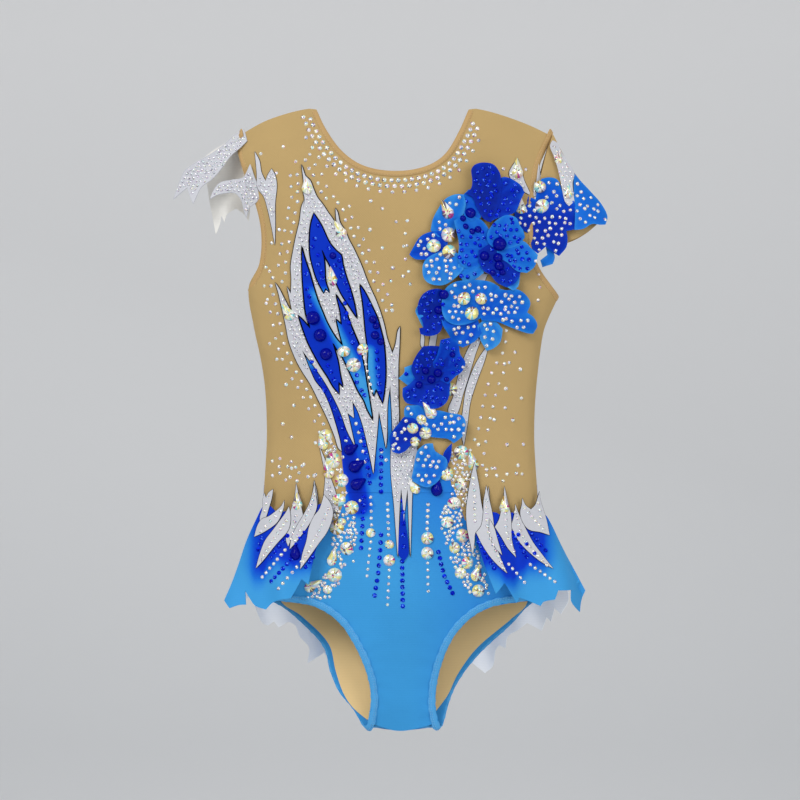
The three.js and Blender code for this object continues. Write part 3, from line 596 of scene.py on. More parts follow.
# --- Leg elastics and crotch seam ----------------------------------------------------------------
# Folded blue bindings over elastic round each leg, with two rows of stitches; the crotch seam is a
# short ridge between them.
blue_lycra = textile("Blue leg binding", [(76, 160, 218)], 0.0009, 0.0001, rough=0.55, sheen=0.05)
blue_thread = textile("Blue thread", [(120, 180, 224)], 0.0005, 0.00005, rough=0.6)
for name, front, back, centre_at, ends in (
    ("leg_elastic_left", LEG_FRONT_LEFT, LEG_BACK_LEFT, (-100, -525),
     [(-0.1315, 0, -0.456), (-0.032, 0, -0.579)]),
    ("leg_elastic_right", LEG_FRONT_RIGHT, LEG_BACK_RIGHT, (100, -525),
     [(0.1325, 0, -0.456), (0.038, 0, -0.579)]),
):
    line, out = round_opening(front, back, centre_at, ends)
    band = tube(line, out, 7, 2.2)
    pucker = 1 + 0.10 * np.sin(np.arange(len(line)) * 1.9) + 0.05 * np.sin(np.arange(len(line)) * 0.8)
    middle = (line + band[4] * 0.0035)[:, None]
    v = (middle + (band[0].reshape(len(line), -1, 3) - middle) * pucker[:, None, None]).reshape(-1, 3)
    elastic = build(name + "_fold", [(v, *band[1:4])], blue_lycra, dye=lambda q, e: 0.0, smooth=60)
    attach(elastic, "root")
    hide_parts(name)
    rows = []
    for share in (0.62, 0.86):
        ring = [np.concatenate([a, a[:1]]) for a in (line + band[4] * 0.007 * share, band[4], band[5])]
        rows += [threads(ring[0] + s * ring[2] * 0.00115, ring[1], s * ring[2], 2.6, 1.9) for s in (-1, 1)]
    stitch = build(name + "_stitches", rows, blue_thread, smooth=0)
    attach(stitch, "root")
x = np.linspace(-26, 32, 24)
line = np.stack([x, 0 * x, -579.5 + 0 * x], 1) / 1000
ridge = tube(line, np.tile([0, 0, 1.0], (24, 1)), 2.6, 2.2, closed=False)
crotch = build("crotch_seam_ridge", [ridge[:4]], blue_lycra, dye=lambda q, e: 0.0, smooth=60)
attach(crotch, "root")
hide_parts("crotch_seam")

# --- Care label ----------------------------------------------------------------------------------
# A small plain woven label sewn inside the back, seen faintly through the mesh.
LABEL = [(72, -286), (114, -286), (114, -317), (72, -317)]
label = build("care_label_cloth", [cut(LABEL, 1, -1.4, 0.4)],
              textile("Woven label", [(214, 196, 150)], 0.0006, 0.0001), dye=lambda q, e: 0.0)
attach(label, "root")
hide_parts("care_label")
sheet(label, [LABEL], "hung", "side_seam_right_ridge")

# --- The left flame ------------------------------------------------------------------------------
# White satin cut to a tall flame and glued on the mesh, with blue printed tongues on it. A thin
# black line is printed round every edge; it is made here as a fine cord.


def cords(rings, side, lift, wide=1.0, shape=body):
    """Fine cords along rings, each lying lift mm off a shape."""
    parts = []
    for ring in rings:
        line = curve(ring, 2.5)
        at = lay(shape, *line.T, side, lift)
        _, nx, ny, _ = shape(*line.T, side)
        off = np.stack([nx, ny, 0 * nx], 1)
        parts.append(tube(at - off * 0.0003, off, 0.6, wide, corners=5)[:4])
    return parts


FLAME = [
    (-91, -54), (-89, -60.5), (-87.5, -64.5), (-83, -69), (-80, -76.5), (-76.5, -84.5),
    (-71.5, -91), (-66, -99.5), (-62, -105), (-57.5, -113.5), (-59, -104), (-59.5, -95),
    (-57.5, -99), (-55.5, -108), (-50.5, -116), (-47.5, -123.5), (-43, -132),
    (-38.5, -141.5), (-35, -149.5), (-31.5, -159), (-28, -167.5), (-22.5, -179.5),
    (-18, -191.5), (-14.5, -203.5), (-12, -215), (-9.5, -222.5), (-7, -229.5), (-4, -220.5),
    (-2, -208.5), (0, -204.5), (-0.5, -221.5), (-1.5, -240), (-1.5, -268), (-1, -293),
    (-3.5, -314.5), (-3.5, -337.5), (-7.5, -337.5), (-7, -300.5), (-9, -258.5),
    (-11.5, -277), (-12, -307), (-13, -317), (-15, -306), (-19.5, -282.5), (-21.5, -308),
    (-24.5, -340.5), (-27.5, -325.5), (-31, -309.5), (-34.5, -295.5), (-39, -282.5),
    (-44, -273.5), (-42.5, -289), (-48.5, -284.5), (-46.5, -292.5), (-41.5, -315.5),
    (-49, -300.5), (-53.5, -287.5), (-59, -275), (-70, -255), (-90.5, -226), (-79, -254),
    (-71.5, -264), (-64.5, -279.5), (-56, -308), (-54, -320), (-57, -317), (-60.5, -306),
    (-67, -290), (-75.5, -272.5), (-83, -257.5), (-90, -246.5), (-96, -235.5),
    (-102.5, -218.5), (-105.5, -203.5), (-109, -188), (-112.5, -173), (-115.5, -163.5),
    (-111.5, -169.5), (-108, -176.5), (-103, -186), (-99, -193.5), (-101.5, -181.5),
    (-104.5, -167.5), (-101, -174), (-100.5, -161), (-101, -148), (-98.5, -133), (-96, -121),
    (-92.5, -106), (-91, -94), (-88.5, -87.5), (-89.5, -96.5), (-88, -86.5), (-89.5, -79),
    (-89, -71.5),
]
TONGUES = [
    [
    (-79.5, -99.5), (-72.5, -110.5), (-65, -126.5), (-58.5, -134.5), (-54, -138.5),
    (-52.5, -147), (-49.5, -158), (-45.5, -170), (-42, -183), (-39.5, -197), (-47.5, -185),
    (-55, -173), (-61.5, -158), (-65, -148), (-69, -140.5), (-72, -133.5), (-70, -140.5),
    (-69, -151.5), (-68.5, -162), (-65, -173), (-68.5, -169.5), (-70.5, -173.5),
    (-76.5, -162), (-80, -151.5), (-83, -138.5), (-83.5, -123.5), (-82.5, -110.5),
],
    [
    (-90.5, -130), (-87.5, -141.5), (-83.5, -153.5), (-79.5, -167.5), (-75.5, -180.5),
    (-71, -191.5), (-67, -201), (-59.5, -214), (-53, -222), (-55.5, -213), (-58, -202.5),
    (-59, -197.5), (-54, -202.5), (-55.5, -190), (-58, -179.5), (-59, -174.5),
    (-55.5, -180.5), (-50, -189.5), (-45.5, -202), (-41, -213), (-37.5, -221.5),
    (-35.5, -229), (-33, -241), (-30.5, -256.5), (-28, -271.5), (-25, -291), (-30, -282),
    (-33.5, -273), (-39, -264), (-43.5, -254), (-47, -246.5), (-52.5, -234.5), (-59, -225),
    (-62, -219.5), (-59.5, -228), (-57, -237), (-55, -249), (-52.5, -260.5), (-56.5, -256),
    (-56, -267), (-61.5, -260.5), (-67, -251), (-73.5, -241), (-80, -229.5), (-85.5, -218.5),
    (-90, -206.5), (-94, -194), (-88.5, -199.5), (-83, -206), (-87, -193.5), (-89, -177.5),
    (-90.5, -153.5),
],
    [
    (-37, -165.5), (-32, -173), (-26, -185), (-20.5, -197), (-17.5, -207.5), (-15, -218),
    (-13.5, -231.5), (-13, -248.5), (-14, -263), (-16, -275.5), (-19, -269), (-22, -262.5),
    (-24, -269), (-27, -260.5), (-29, -252), (-30, -239), (-29.5, -229), (-31.5, -213),
    (-33, -198), (-34.5, -182.5), (-36.5, -170),
],
]
GLOW = np.array([
    (-80, -151.5), (-72.5, -177.5), (-62.5, -202.5), (-53, -221.5), (-44.5, -237),
    (-33.5, -261.5), (-26, -286.5),
])
GLOW_RIGHT = np.array([(-29, -228), (-28, -246.5), (-26, -265)])


def flame_print(q, edge):
    """Royal, fading to sky along two lines of glow."""
    left = (reach(q, GLOW, closed=False) - 2.6 - 5 * np.clip((q[:, 1] + 200) / 40, 0, 1)) / 8
    right = (reach(q, GLOW_RIGHT, closed=False) - 2.4) / 8
    high = np.clip((q[:, 1] + 176) / 14, 0, 1)
    return np.clip(np.maximum(np.minimum(left, right), high), 0, 0.86)


white_satin = textile("White satin", [(194, 195, 201), (170, 196, 226)], 0.0007, 0.00012, rough=0.45,
                      sheen=0.05, shade=0.07)
black_line = textile("Black edge print", [(6, 7, 12)], 0.0006, 0.00005, rough=0.7, sheen=0.0, shine=0.02)
flame = build("flame_ground_cloth", [cut(FLAME, -1, 1.6, 0.6, grid=3.5)], white_satin, dye=lambda q, e: 0.0)
tongues = build("flame_tongues_cloth", [cut(t, -1, 2.2, 0.5, grid=3.0) for t in TONGUES], satin,
                dye=flame_print)
edging = build("flame_edging", cords([FLAME], -1, 1.6, 1.6) + cords(TONGUES, -1, 2.5, 1.7), black_line,
               dye=lambda q, e: 0.0, smooth=60)
for thing in (flame, tongues, edging):
    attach(thing, "root")
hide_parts("flame_ground", "centre_strip")
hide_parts("flame_tongue_top", "flame_tongue_inner", "flame_tongue_middle", "flame_tongue_outer",
            "flame_tongue_right", "flame_tongue_low")
sheet(flame, [FLAME], "laid", "front_bodice_cloth")
sheet(tongues, TONGUES, "laid", "flame_ground_cloth")

# --- Centre motif, stems, lightning and small spikes -----------------------------------------------
# White satin strips with the same black edge: a pointed block below the flowers with a royal wedge
# in it, two flower stems, a bolt at the left shoulder and a few thin spikes.
MOTIF = [
    (-8, -306), (-2, -309.5), (3.5, -316), (15, -309.5), (16, -321), (14, -337.5),
    (11.5, -356), (10.5, -384), (9.5, -417.5), (8, -384), (7, -354.5), (5.5, -365.5),
    (3.5, -384), (2.5, -368.5), (1, -353.5), (-0.5, -375), (-2, -417.5), (-3.5, -398),
    (-5.5, -370), (-8.5, -337.5),
]
WEDGE = [(2.5, -362), (5, -384), (8, -414), (3.5, -421.5), (-1.5, -414), (0, -384)]
SPIKES = [
    [
    (70, -213), (74.5, -217.5), (70.5, -228), (65, -246.5), (58.5, -267), (53, -285.5),
    (47.5, -289), (44.5, -282), (49.5, -269), (55, -246.5), (61.5, -228),
],
    [
    (78, -226), (82, -222.5), (78, -237), (70.5, -257.5), (65, -276), (62.5, -295.5),
    (59, -315.5), (56.5, -300.5), (58.5, -280), (61.5, -261.5), (69, -241),
],
    [
    (-135, -41), (-130.5, -49.5), (-128.5, -60.5), (-124.5, -69), (-123, -64), (-119, -57.5),
    (-115.5, -64), (-114, -73.5), (-115.5, -90), (-115.5, -109), (-116, -128.5),
    (-119.5, -109.5), (-123.5, -92), (-126.5, -83), (-132, -75.5), (-133, -60.5),
],
    [
    (-74.5, -316), (-69, -329), (-64, -345), (-59.5, -358), (-56, -376.5), (-64, -376.5),
    (-72.5, -376.5), (-70, -354.5), (-69.5, -341.5),
],
    [(-79.5, -347), (-76.5, -360), (-75.5, -376.5), (-84.5, -376.5), (-81.5, -362)],
    [
    (109.5, -47.5), (112.5, -56.5), (115.5, -68), (122, -82), (117, -80), (110.5, -73.5),
    (103, -67), (101.5, -60.5),
],
    [
    (129, -52), (131, -64), (133, -75.5), (128.5, -83), (124.5, -83), (123, -66),
    (126.5, -71.5),
],
    [(69, -346), (72.5, -358), (75.5, -376.5), (65, -376.5), (66, -360)],
    [(82, -352.5), (83, -365.5), (84.5, -376.5), (78, -376.5), (80, -363.5)],
    [(20, -207.5), (22.5, -214), (21.5, -226), (19, -221.5)],
    [(28, -213), (34.5, -211), (32.5, -224), (26.5, -222.5)],
    [(70.5, -154.5), (81, -156), (78, -163), (69, -162)],
]
motif = build("centre_motif_cloth", [cut(MOTIF, -1, 1.6, 0.6, grid=3.0)], white_satin, dye=lambda q, e: 0.0)
wedge = build("centre_wedge_cloth", [cut(WEDGE, -1, 1.6, 0.5, grid=3.0)], satin, dye=lambda q, e: 0.9)
spikes = build("spikes_and_stems_cloth", [cut(s, -1, 0.8, 0.6, grid=3.0) for s in SPIKES], white_satin,
               dye=lambda q, e: 0.0)
edging = build("spike_edging", cords([MOTIF], -1, 1.6) + cords(SPIKES, -1, 0.9), black_line,
               dye=lambda q, e: 0.0, smooth=60)
for thing in (motif, wedge, spikes, edging):
    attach(thing, "root")
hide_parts("centre_motif")
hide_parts("centre_wedge")
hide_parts("lightning", "stem_left", "stem_right")
sheet(motif, [MOTIF], "laid", "front_brief_cloth")
sheet(wedge, [WEDGE], "laid", "front_brief_cloth")
sheet(spikes, SPIKES, "laid", "front_bodice_cloth")

# --- Flowers -------------------------------------------------------------------------------------
# Petals of printed stretch organza, one cloth each, sewn at their middle so that their edges stand
# up and ripple. Royal flowers lie over azure ones.


def petal_rise(centre, size, low, high, waves):
    """Height of a petal: low at the flower's middle, rising to its edge with ripples round it."""
    def rise(q):
        dx, dz = q[:, 0] - centre[0], q[:, 1] - centre[1]
        out = np.clip(np.hypot(dx, dz) / size, 0, 1.3)
        turn = np.arctan2(dz, dx)
        ripple = np.sin(turn * waves + centre[0]) + 0.5 * np.sin(turn * waves * 1.7 + centre[1])
        vein = 0.25 * np.sin(turn * 23 + 2 * out) * out
        return low + (high - low) * out**1.5 + 1.5 * ripple * out**2 + vein
    return rise


def petal_print(strength, centre, size):
    """Strongest at the flower's middle and a little weaker along the cut edge."""
    def dye(q, edge):
        out = np.clip(np.hypot(q[:, 0] - centre[0], q[:, 1] - centre[1]) / size, 0, 1)
        streak = 0.06 * np.sin(np.arctan2(q[:, 1] - centre[1], q[:, 0] - centre[0]) * 17)
        pale = 0.16 * np.exp(-edge / 1.6)
        return np.clip(strength + 0.14 * (0.5 - out) + streak - pale, 0, 1)
    return dye


PETAL_BLUES = [(62, 146, 212), (26, 110, 204), (8, 76, 194), (4, 42, 166), (6, 32, 136)]
organza = textile("Printed organza", PETAL_BLUES, 0.0008, 0.0002, rough=0.5, sheen=0.0, shade=0.12,
                  shine=0.06)
# Each flower: centre, size, then petals as (print strength, low, high, outline).
FLOWERS = {
    "petals_pale": ((40, -129), 34, [
        (0.30, 2.6, 5, [
    (28, -116), (30, -106), (35, -96), (41.5, -87), (50, -83), (58, -83), (60, -91),
    (58, -101), (53, -111), (46.5, -119.5), (35, -122),
]),
        (0.62, 2.4, 6, [
    (8.5, -138.5), (12.5, -131), (18.5, -122), (27.5, -117.5), (37.5, -117.5), (45, -124.5),
    (40.5, -136), (33, -142), (23, -143), (13.5, -142.5),
]),
        (0.26, 3.2, 7, [
    (20.5, -155), (22.5, -144.5), (33, -137), (46.5, -134.5), (56.5, -141), (58, -152),
    (50.5, -160), (41.5, -166), (33, -167), (24, -163.5),
])]),
    "flower_middle": ((78, -192), 40, [
        (0.20, 2.4, 6, [
    (88.5, -200), (94.5, -207), (92, -218.5), (85, -225), (79.5, -227), (73.5, -216),
    (71, -203.5), (79.5, -196.5),
]),
        (0.50, 2.6, 5, [
    (38, -196.5), (46, -190), (71, -196.5), (75, -210.5), (69, -218), (57.5, -224),
    (49.5, -220), (45.5, -213.5), (39, -203.5),
]),
        (0.34, 3.4, 8, [
    (38, -187.5), (40.5, -171.5), (48.5, -164.5), (60, -162), (71, -161.5), (83, -163.5),
    (91, -168), (88.5, -183), (71, -198.5), (53, -203.5), (41.5, -198.5),
]),
        (0.40, 3.6, 8, [
    (69, -184), (88.5, -169), (97.5, -171), (106.5, -170), (115.5, -176), (119, -183),
    (115.5, -191.5), (120, -195.5), (123, -203.5), (120.5, -211), (115.5, -210.5),
    (102, -205.5), (88.5, -200), (75, -199),
])]),
    "flower_bottom": ((26, -303), 34, [
        (0.30, 2.8, 6, [
    (4, -280.5), (6.5, -277.5), (18.5, -277.5), (32.5, -281.5), (35.5, -290), (27, -296.5),
    (12.5, -296), (5, -290),
]),
        (0.80, 3.0, 7, [
    (-10, -308.5), (-8.5, -303.5), (-2, -295), (3.5, -288), (13.5, -290), (21, -300),
    (18.5, -311.5), (10, -314.5), (5, -319.5), (-1.5, -322), (-7, -320),
]),
        (0.34, 3.4, 8, [
    (21, -291.5), (27, -284.5), (34, -282), (45.5, -284.5), (56, -286.5), (59, -290),
    (59.5, -297.5), (57, -306), (49, -312.5), (44, -308.5), (35.5, -307.5), (27, -306),
    (21, -300),
])]),
    "leaf": ((32, -338), 26, [
        (0.85, 2.2, 4, [(39.5, -323.5), (44, -316), (48, -312.5), (47, -323), (44.5, -331.5), (41, -335)]),
        (0.28, 2.8, 6, [
    (23.5, -313), (30, -312.5), (32.5, -320), (42, -326), (43.5, -333), (39.5, -340),
    (34, -348.5), (25.5, -353), (20, -352), (10, -346.5), (12, -337), (15.5, -320),
    (19, -316),
])]),
    "bud": ((30, -190), 20, [
        (0.22, 3.0, 6, [
    (14, -190), (16.5, -185), (26.5, -187.5), (26.5, -203.5), (25, -210.5), (21, -205.5),
    (16.5, -196.5),
]),
        (0.92, 3.8, 7, [
    (16, -188.5), (17.5, -180.5), (22, -174), (29, -170.5), (37, -170.5), (43.5, -174),
    (43, -186), (40.5, -196.5), (38, -207), (33.5, -212), (24.5, -213.5), (18.5, -211.5),
    (17.5, -206.5), (21.5, -205.5), (20, -198.5), (17, -194),
])]),
    "flower_lower": ((30, -249), 34, [
        (0.24, 3.2, 6, [
    (-1.5, -252.5), (4, -247), (4, -242.5), (13, -239), (20, -245.5), (20, -255),
    (8.5, -260),
]),
        (0.30, 3.0, 6, [(13, -238.5), (20, -226.5), (28, -223), (32.5, -232), (22.5, -241)]),
        (0.80, 3.6, 8, [
    (8.5, -258), (2.5, -261.5), (2.5, -269.5), (6.5, -275.5), (17.5, -277.5), (26.5, -280.5),
    (37, -279), (44, -272), (46, -257), (35, -248), (17.5, -250),
]),
        (0.70, 4.4, 9, [
    (33.5, -232), (37, -217), (46, -215), (53, -221.5), (55, -230.5), (59.5, -238.5),
    (56.5, -246.5), (51, -250.5), (44, -258), (33.5, -251.5), (29, -241),
]),
        (0.96, 4.6, 8, [
    (10.5, -242.5), (14.5, -232), (21, -223), (28, -222.5), (38.5, -223), (44, -235.5),
    (40.5, -250), (30, -257), (17.5, -256), (12, -249),
])]),
    "flower_upper": ((84, -136), 38, [
        (0.26, 3.4, 6, [
    (53, -147.5), (63, -144.5), (74.5, -145), (77, -155), (68, -161.5), (58, -163),
    (53, -156),
]),
        (0.24, 3.6, 7, [(96.5, -167.5), (103, -159), (110.5, -152), (108, -167.5), (103, -171.5)]),
        (0.40, 4.0, 7, [
    (49, -107.5), (58, -102), (73, -105.5), (81.5, -115), (84, -126), (79.5, -137),
    (74.5, -148.5), (65.5, -151.5), (57.5, -150), (53, -142.5), (54, -129.5), (51.5, -117.5),
]),
        (0.84, 4.8, 9, [
    (72, -134.5), (83, -127.5), (98, -132.5), (107, -142.5), (110, -154), (105.5, -164),
    (97, -168.5), (88, -164), (82, -156.5), (76.5, -153.5), (72, -144.5),
]),
        (0.34, 5.0, 10, [
    (88, -132), (99, -126), (113, -125.5), (119.5, -132), (124.5, -138.5), (122, -149.5),
    (115.5, -155), (107, -153.5), (99, -146), (90.5, -140),
]),
        (0.36, 5.4, 10, [
    (79.5, -119.5), (84, -111), (89.5, -105.5), (98, -101.5), (106, -104.5), (109, -111),
    (112, -115), (114, -122), (109.5, -128.5), (98, -132.5), (87, -132), (80.5, -127),
])]),
    "flower_top": ((78, -92), 36, [
        (0.44, 5.0, 8, [
    (57.5, -84.5), (63, -78), (70.5, -79.5), (74.5, -94.5), (74, -104.5), (65, -107.5),
    (57.5, -99.5),
]),
        (0.78, 5.6, 10, [
    (86.5, -72), (92, -67), (98, -66.5), (106, -70.5), (111.5, -75.5), (114, -80.5),
    (109, -91), (105.5, -98.5), (98, -102), (89.5, -104.5), (83, -107.5), (79.5, -94.5),
    (82, -80.5),
]),
        (0.94, 6.0, 11, [
    (65, -61), (66.5, -57), (70.5, -54), (77, -53), (84.5, -54.5), (89.5, -59.5),
    (92, -65.5), (93, -78), (89.5, -94.5), (83, -108.5), (77, -106), (70.5, -96),
    (66.5, -86), (60, -82), (65, -77), (66, -69.5),
])]),
}
flower_cloths = []
for k, (name, (middle, size, petals)) in enumerate(FLOWERS.items()):
    for j, (strength, low, high, outline) in enumerate(petals):
        petal = build(f"{name}_petal_{j + 1}", [
            cut(outline, -1, 0.4, 0.45, grid=2.6, rise=petal_rise(middle, size, low, high, 5 + (k + j) % 3))],
            organza, dye=petal_print(strength, middle, size))
        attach(petal, "root")
        sheet(petal, [outline], "laid", "front_bodice_cloth")
        flower_cloths.append(petal)
    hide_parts(name)

# --- Skirt -----------------------------------------------------------------------------------------
# Two front flaps and a longer ragged back skirt of blue satin, white underneath, sewn in the hip seam and
# free below it.


def skirt(x, z, side):
    """An ellipse that widens and deepens below the hip seam, with folds growing to the hem."""
    left, right, depth = level(np.full_like(z, HIP))
    t = np.clip((HIP + 1 - z) / 120, 0, 1.6)
    y, nx, ny, rise = oval(x, side, (left + right) / 2, (right - left) / 2 + 4.6 + 44 * t,
                           depth + 2.6 + 30 * t**1.2)
    folds = 3.2 * t * np.sin(x / 8.2 + 1.2 * side + z / 50) + 1.3 * t * np.sin(x / 4.6 + z / 23)
    return y, nx, ny, folds * np.minimum(rise * 2, 1)


def hip_print(q, edge):
    """Royal from the hip down, in streaks, fading to sky towards the hem and the sides."""
    low = 418 + 7 * np.sin(q[:, 0] / 13) + 4 * np.sin(q[:, 0] / 5.3 + 1)
    band = np.exp(-(np.clip(-q[:, 1] - low, 0, 99) / 15) ** 2) / (1 + np.exp((np.abs(q[:, 0]) - 137) / 4))
    streak = 0.86 + 0.16 * np.sin(q[:, 0] / 4.1) * np.sin(q[:, 0] / 2.3 + 1)
    return np.clip(band * streak - 0.03, 0, 0.84)


def reverse(thing, plain, side):
    """Gives the faces that look inwards the plain reverse of the cloth."""
    thing.data.materials.append(plain)
    for face in thing.data.polygons:
        if face.normal.y * side < -0.05:
            face.material_index = 1


flap_satin = textile("Skirt satin", BLUES, 0.0009, 0.00012, rough=0.5, sheen=0.0, shade=0.08, shine=0.06)
# The reverse is painted far whiter than the white satin on the front: painted light against the shade under
# the skirts.
lightened_white_reverse = textile("White reverse", [(238, 240, 244)], 0.0009, 0.0001, rough=0.7)
SKIRTS = {
    "skirt_front_left": (-1, [
    (-126.5, -371), (-121, -370), (-113.5, -376.5), (-106, -375.5), (-98.5, -384),
    (-90, -377.5), (-83, -380.5), (-76.5, -370), (-70.5, -367.5), (-65, -371), (-67, -384),
    (-76.5, -407.5), (-84.5, -442), (-91, -437), (-99.5, -454), (-109.5, -455.5),
    (-118, -459.5), (-123.5, -465), (-134, -462), (-139.5, -455.5), (-144, -449),
    (-143, -461.5), (-149, -462), (-155.5, -465), (-161, -458.5), (-157, -447.5),
    (-150.5, -426), (-142.5, -402.5), (-133, -382),
]),
    "skirt_front_right": (-1, [
    (67, -371), (73.5, -371), (80, -375.5), (88.5, -376.5), (96, -381.5), (104, -376.5),
    (109.5, -381.5), (117, -376.5), (123.5, -382), (130, -375.5), (136.5, -381.5),
    (149, -406.5), (161, -428.5), (173, -451), (170, -457.5), (167.5, -469.5), (161, -464),
    (157, -458.5), (158, -449), (145, -448.5), (142.5, -456.5), (132, -458.5), (129.5, -462),
    (117, -456.5), (109.5, -454), (106, -458.5), (100.5, -449), (95, -440), (87.5, -450),
    (77, -421.5), (68, -388.5),
]),
    "skirt_back": (1, [
        (-123, -350), (-128, -372), (-142, -412), (-156, -452), (-150, -462), (-142, -458), (-138, -470),
        (-131, -486),
        (-125, -489), (-120, -485), (-116, -491), (-108, -485), (-101, -489), (-97, -500), (-91, -507),
        (-88, -512),
        (-90, -527), (-80, -521), (-73, -517), (-62, -536), (-50, -514), (-38, -538), (-24, -516),
        (-10, -541),
        (4, -518), (18, -539), (33, -516), (47, -535), (58, -514), (66, -522), (82, -538), (89, -531),
        (92, -514),
        (96, -509), (102, -512), (104, -500), (114, -493), (122, -486), (134, -494), (139, -480), (144, -484),
        (148, -470), (154, -476), (160, -458), (142, -412), (130, -372), (125, -350)]),
}
skirts = {}
for name, (side, outline) in SKIRTS.items():
    flap = build(name + "_cloth", [cut(outline, side, 0, 0.7, skirt, grid=3.6)], flap_satin, dye=hip_print)
    reverse(flap, lightened_white_reverse, side)
    skirts[name] = flap
    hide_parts(name)
    sheet(flap, [outline], "hung", "front_brief_cloth" if side < 0 else "hip_seam_back")
# Each hip has six narrow feathers that sweep down and outwards.
HIP_FLAMES = {
    "hip_flame_left": [
        [
    (-117.5, -355.5), (-118.5, -363.5), (-121, -373), (-124.5, -383), (-129.5, -386),
    (-129.5, -381.5), (-127, -373), (-127, -365.5), (-125.5, -359), (-124, -363.5),
    (-121.5, -358.5),
],
        [
    (-107, -365.5), (-107.5, -372), (-109.5, -378.5), (-112.5, -385), (-117, -389.5),
    (-125.5, -395), (-135, -399.5), (-132, -389.5), (-127.5, -383), (-121, -380.5),
    (-114.5, -375.5), (-109.5, -370.5),
],
        [
    (-102.5, -371), (-101, -382), (-103, -392.5), (-111.5, -403.5), (-123, -417.5),
    (-133, -428), (-129.5, -415.5), (-124.5, -403.5), (-117, -393.5), (-110.5, -384),
    (-106, -377.5),
],
        [
    (-96, -349.5), (-93.5, -361), (-91, -372), (-89.5, -382), (-93, -391.5), (-99.5, -399),
    (-103, -407.5), (-105, -401), (-103, -389.5), (-102.5, -380.5), (-99.5, -370),
    (-97, -360),
],
        [
    (-79, -349.5), (-77.5, -361), (-76.5, -371), (-79.5, -379.5), (-84.5, -388.5),
    (-93, -400), (-101.5, -410), (-100, -399), (-95, -388.5), (-89.5, -379.5), (-84, -369),
    (-81, -360),
],
        [
    (-70, -360), (-64, -367.5), (-61.5, -377.5), (-66, -392.5), (-74.5, -404.5),
    (-84.5, -418.5), (-92, -428), (-90, -415), (-86, -402.5), (-83.5, -389.5), (-79, -379.5),
    (-74, -373),
]],
    "hip_flame_right": [
        [
    (69, -330), (71, -341.5), (73, -352.5), (74.5, -365.5), (76.5, -377.5), (76.5, -386),
    (74, -391.5), (69.5, -394.5), (68.5, -403.5), (67, -415), (64.5, -403.5), (62, -391.5),
    (61, -375), (63, -358), (66, -341.5),
],
        [
    (79.5, -351.5), (82, -363.5), (84.5, -375.5), (86, -388), (87, -402.5), (91, -416.5),
    (97.5, -431.5), (90, -425), (82.5, -416.5), (75.5, -405.5), (70, -394.5), (74.5, -388.5),
    (76.5, -377.5), (77, -365.5), (78.5, -358),
],
        [(82, -382), (86, -389.5), (89.5, -402.5), (93, -415), (86.5, -407.5), (82, -397)],
        [
    (96.5, -352.5), (99, -364.5), (102, -376.5), (103, -389.5), (103, -401), (107, -417.5),
    (99, -409), (93, -399), (87, -389.5), (91, -383), (94, -371), (96, -361),
],
        [
    (106.5, -369), (109.5, -377.5), (113.5, -386), (117, -393.5), (123, -404.5),
    (131, -415.5), (140.5, -428.5), (130, -422), (119, -413), (109.5, -402.5), (103, -389.5),
    (104.5, -383), (106, -376.5),
],
        [
    (113, -363.5), (116, -370), (121, -374), (125, -370), (127.5, -362.5), (129, -358),
    (130, -366.5), (132.5, -375), (135, -384), (137.5, -398), (129.5, -395), (119, -392.5),
    (113, -385), (111, -376.5), (112.5, -370),
]],
}
flap_whites = {}
for name, feathers in HIP_FLAMES.items():
    on = "skirt_front_" + name.split("_")[-1]
    lifts = [1.0 + 0.25 * (k % 3) for k in range(len(feathers))]
    patch = build(name + "_cloth", [cut(o, -1, h, 0.4, skirt, grid=2.4) for o, h in zip(feathers, lifts)],
                  white_satin,
                  dye=lambda q, e: 0.0)
    rim = build(name + "_edging", [c for o, h in zip(feathers, lifts) for c in cords([o], -1, h, 0.85,
        skirt)], black_line,
                dye=lambda q, e: 0.0, smooth=60)
    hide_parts(name)
    sheet(patch, feathers, "laid", on + "_cloth")
    flap_whites[on] = [patch, rim]

# --- Hip seam --------------------------------------------------------------------------------------
# The ridge where the back skirt, the brief and the mesh are sewn together, overlocked in blue.
x = np.linspace(-125, 126, 90)
line = lay(body, x, np.full(90, HIP), 1, 1.6)
across = np.tile([0.0, 0, 1.0], (90, 1))
seam = build("hip_seam_back", [tube(line, across, 3.0, 1.2, closed=False)[:4]], blue_lycra, dye=lambda q,
             e: 0.0, smooth=60)
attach(seam, "root")
stitch = build("hip_seam_stitches", [threads(line + [0, 0.0009, 0.0015], across, np.tile([0.0, 1, 0], (90,
    1)), 3.0, 2.4, lean=0.5)],
               blue_thread, smooth=0)
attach(stitch, "root")

# --- Sleeves -----------------------------------------------------------------------------------------
# Short flutter sleeves. The left one is two white feathers over a plain one, the right one a nude cap under
# two blue petals and a white strip.


def sleeve(x, z, side):
    """Front and back meet in a fold that slopes outwards from the shoulder, steeper on the right, and
    part below it, further apart further out."""
    away = np.clip((np.abs(x) - 140) / 40, 0, 1)
    fold = -22 - (np.abs(x) - 144) * np.where(x < 0, 1.0, 1.66)
    drop = np.clip((fold + 5 - z) / 50, 0, 1)
    y = side * (0.8 + 11 * np.sin(math.pi / 2 * drop) + 5 * drop * away)
    folds = 1.4 * drop * np.sin(x / 7.5 + z / 19) + 0.6 * drop * np.sin(x / 3.9 - z / 11)
    return y, 0 * x, 0 * x + side, folds


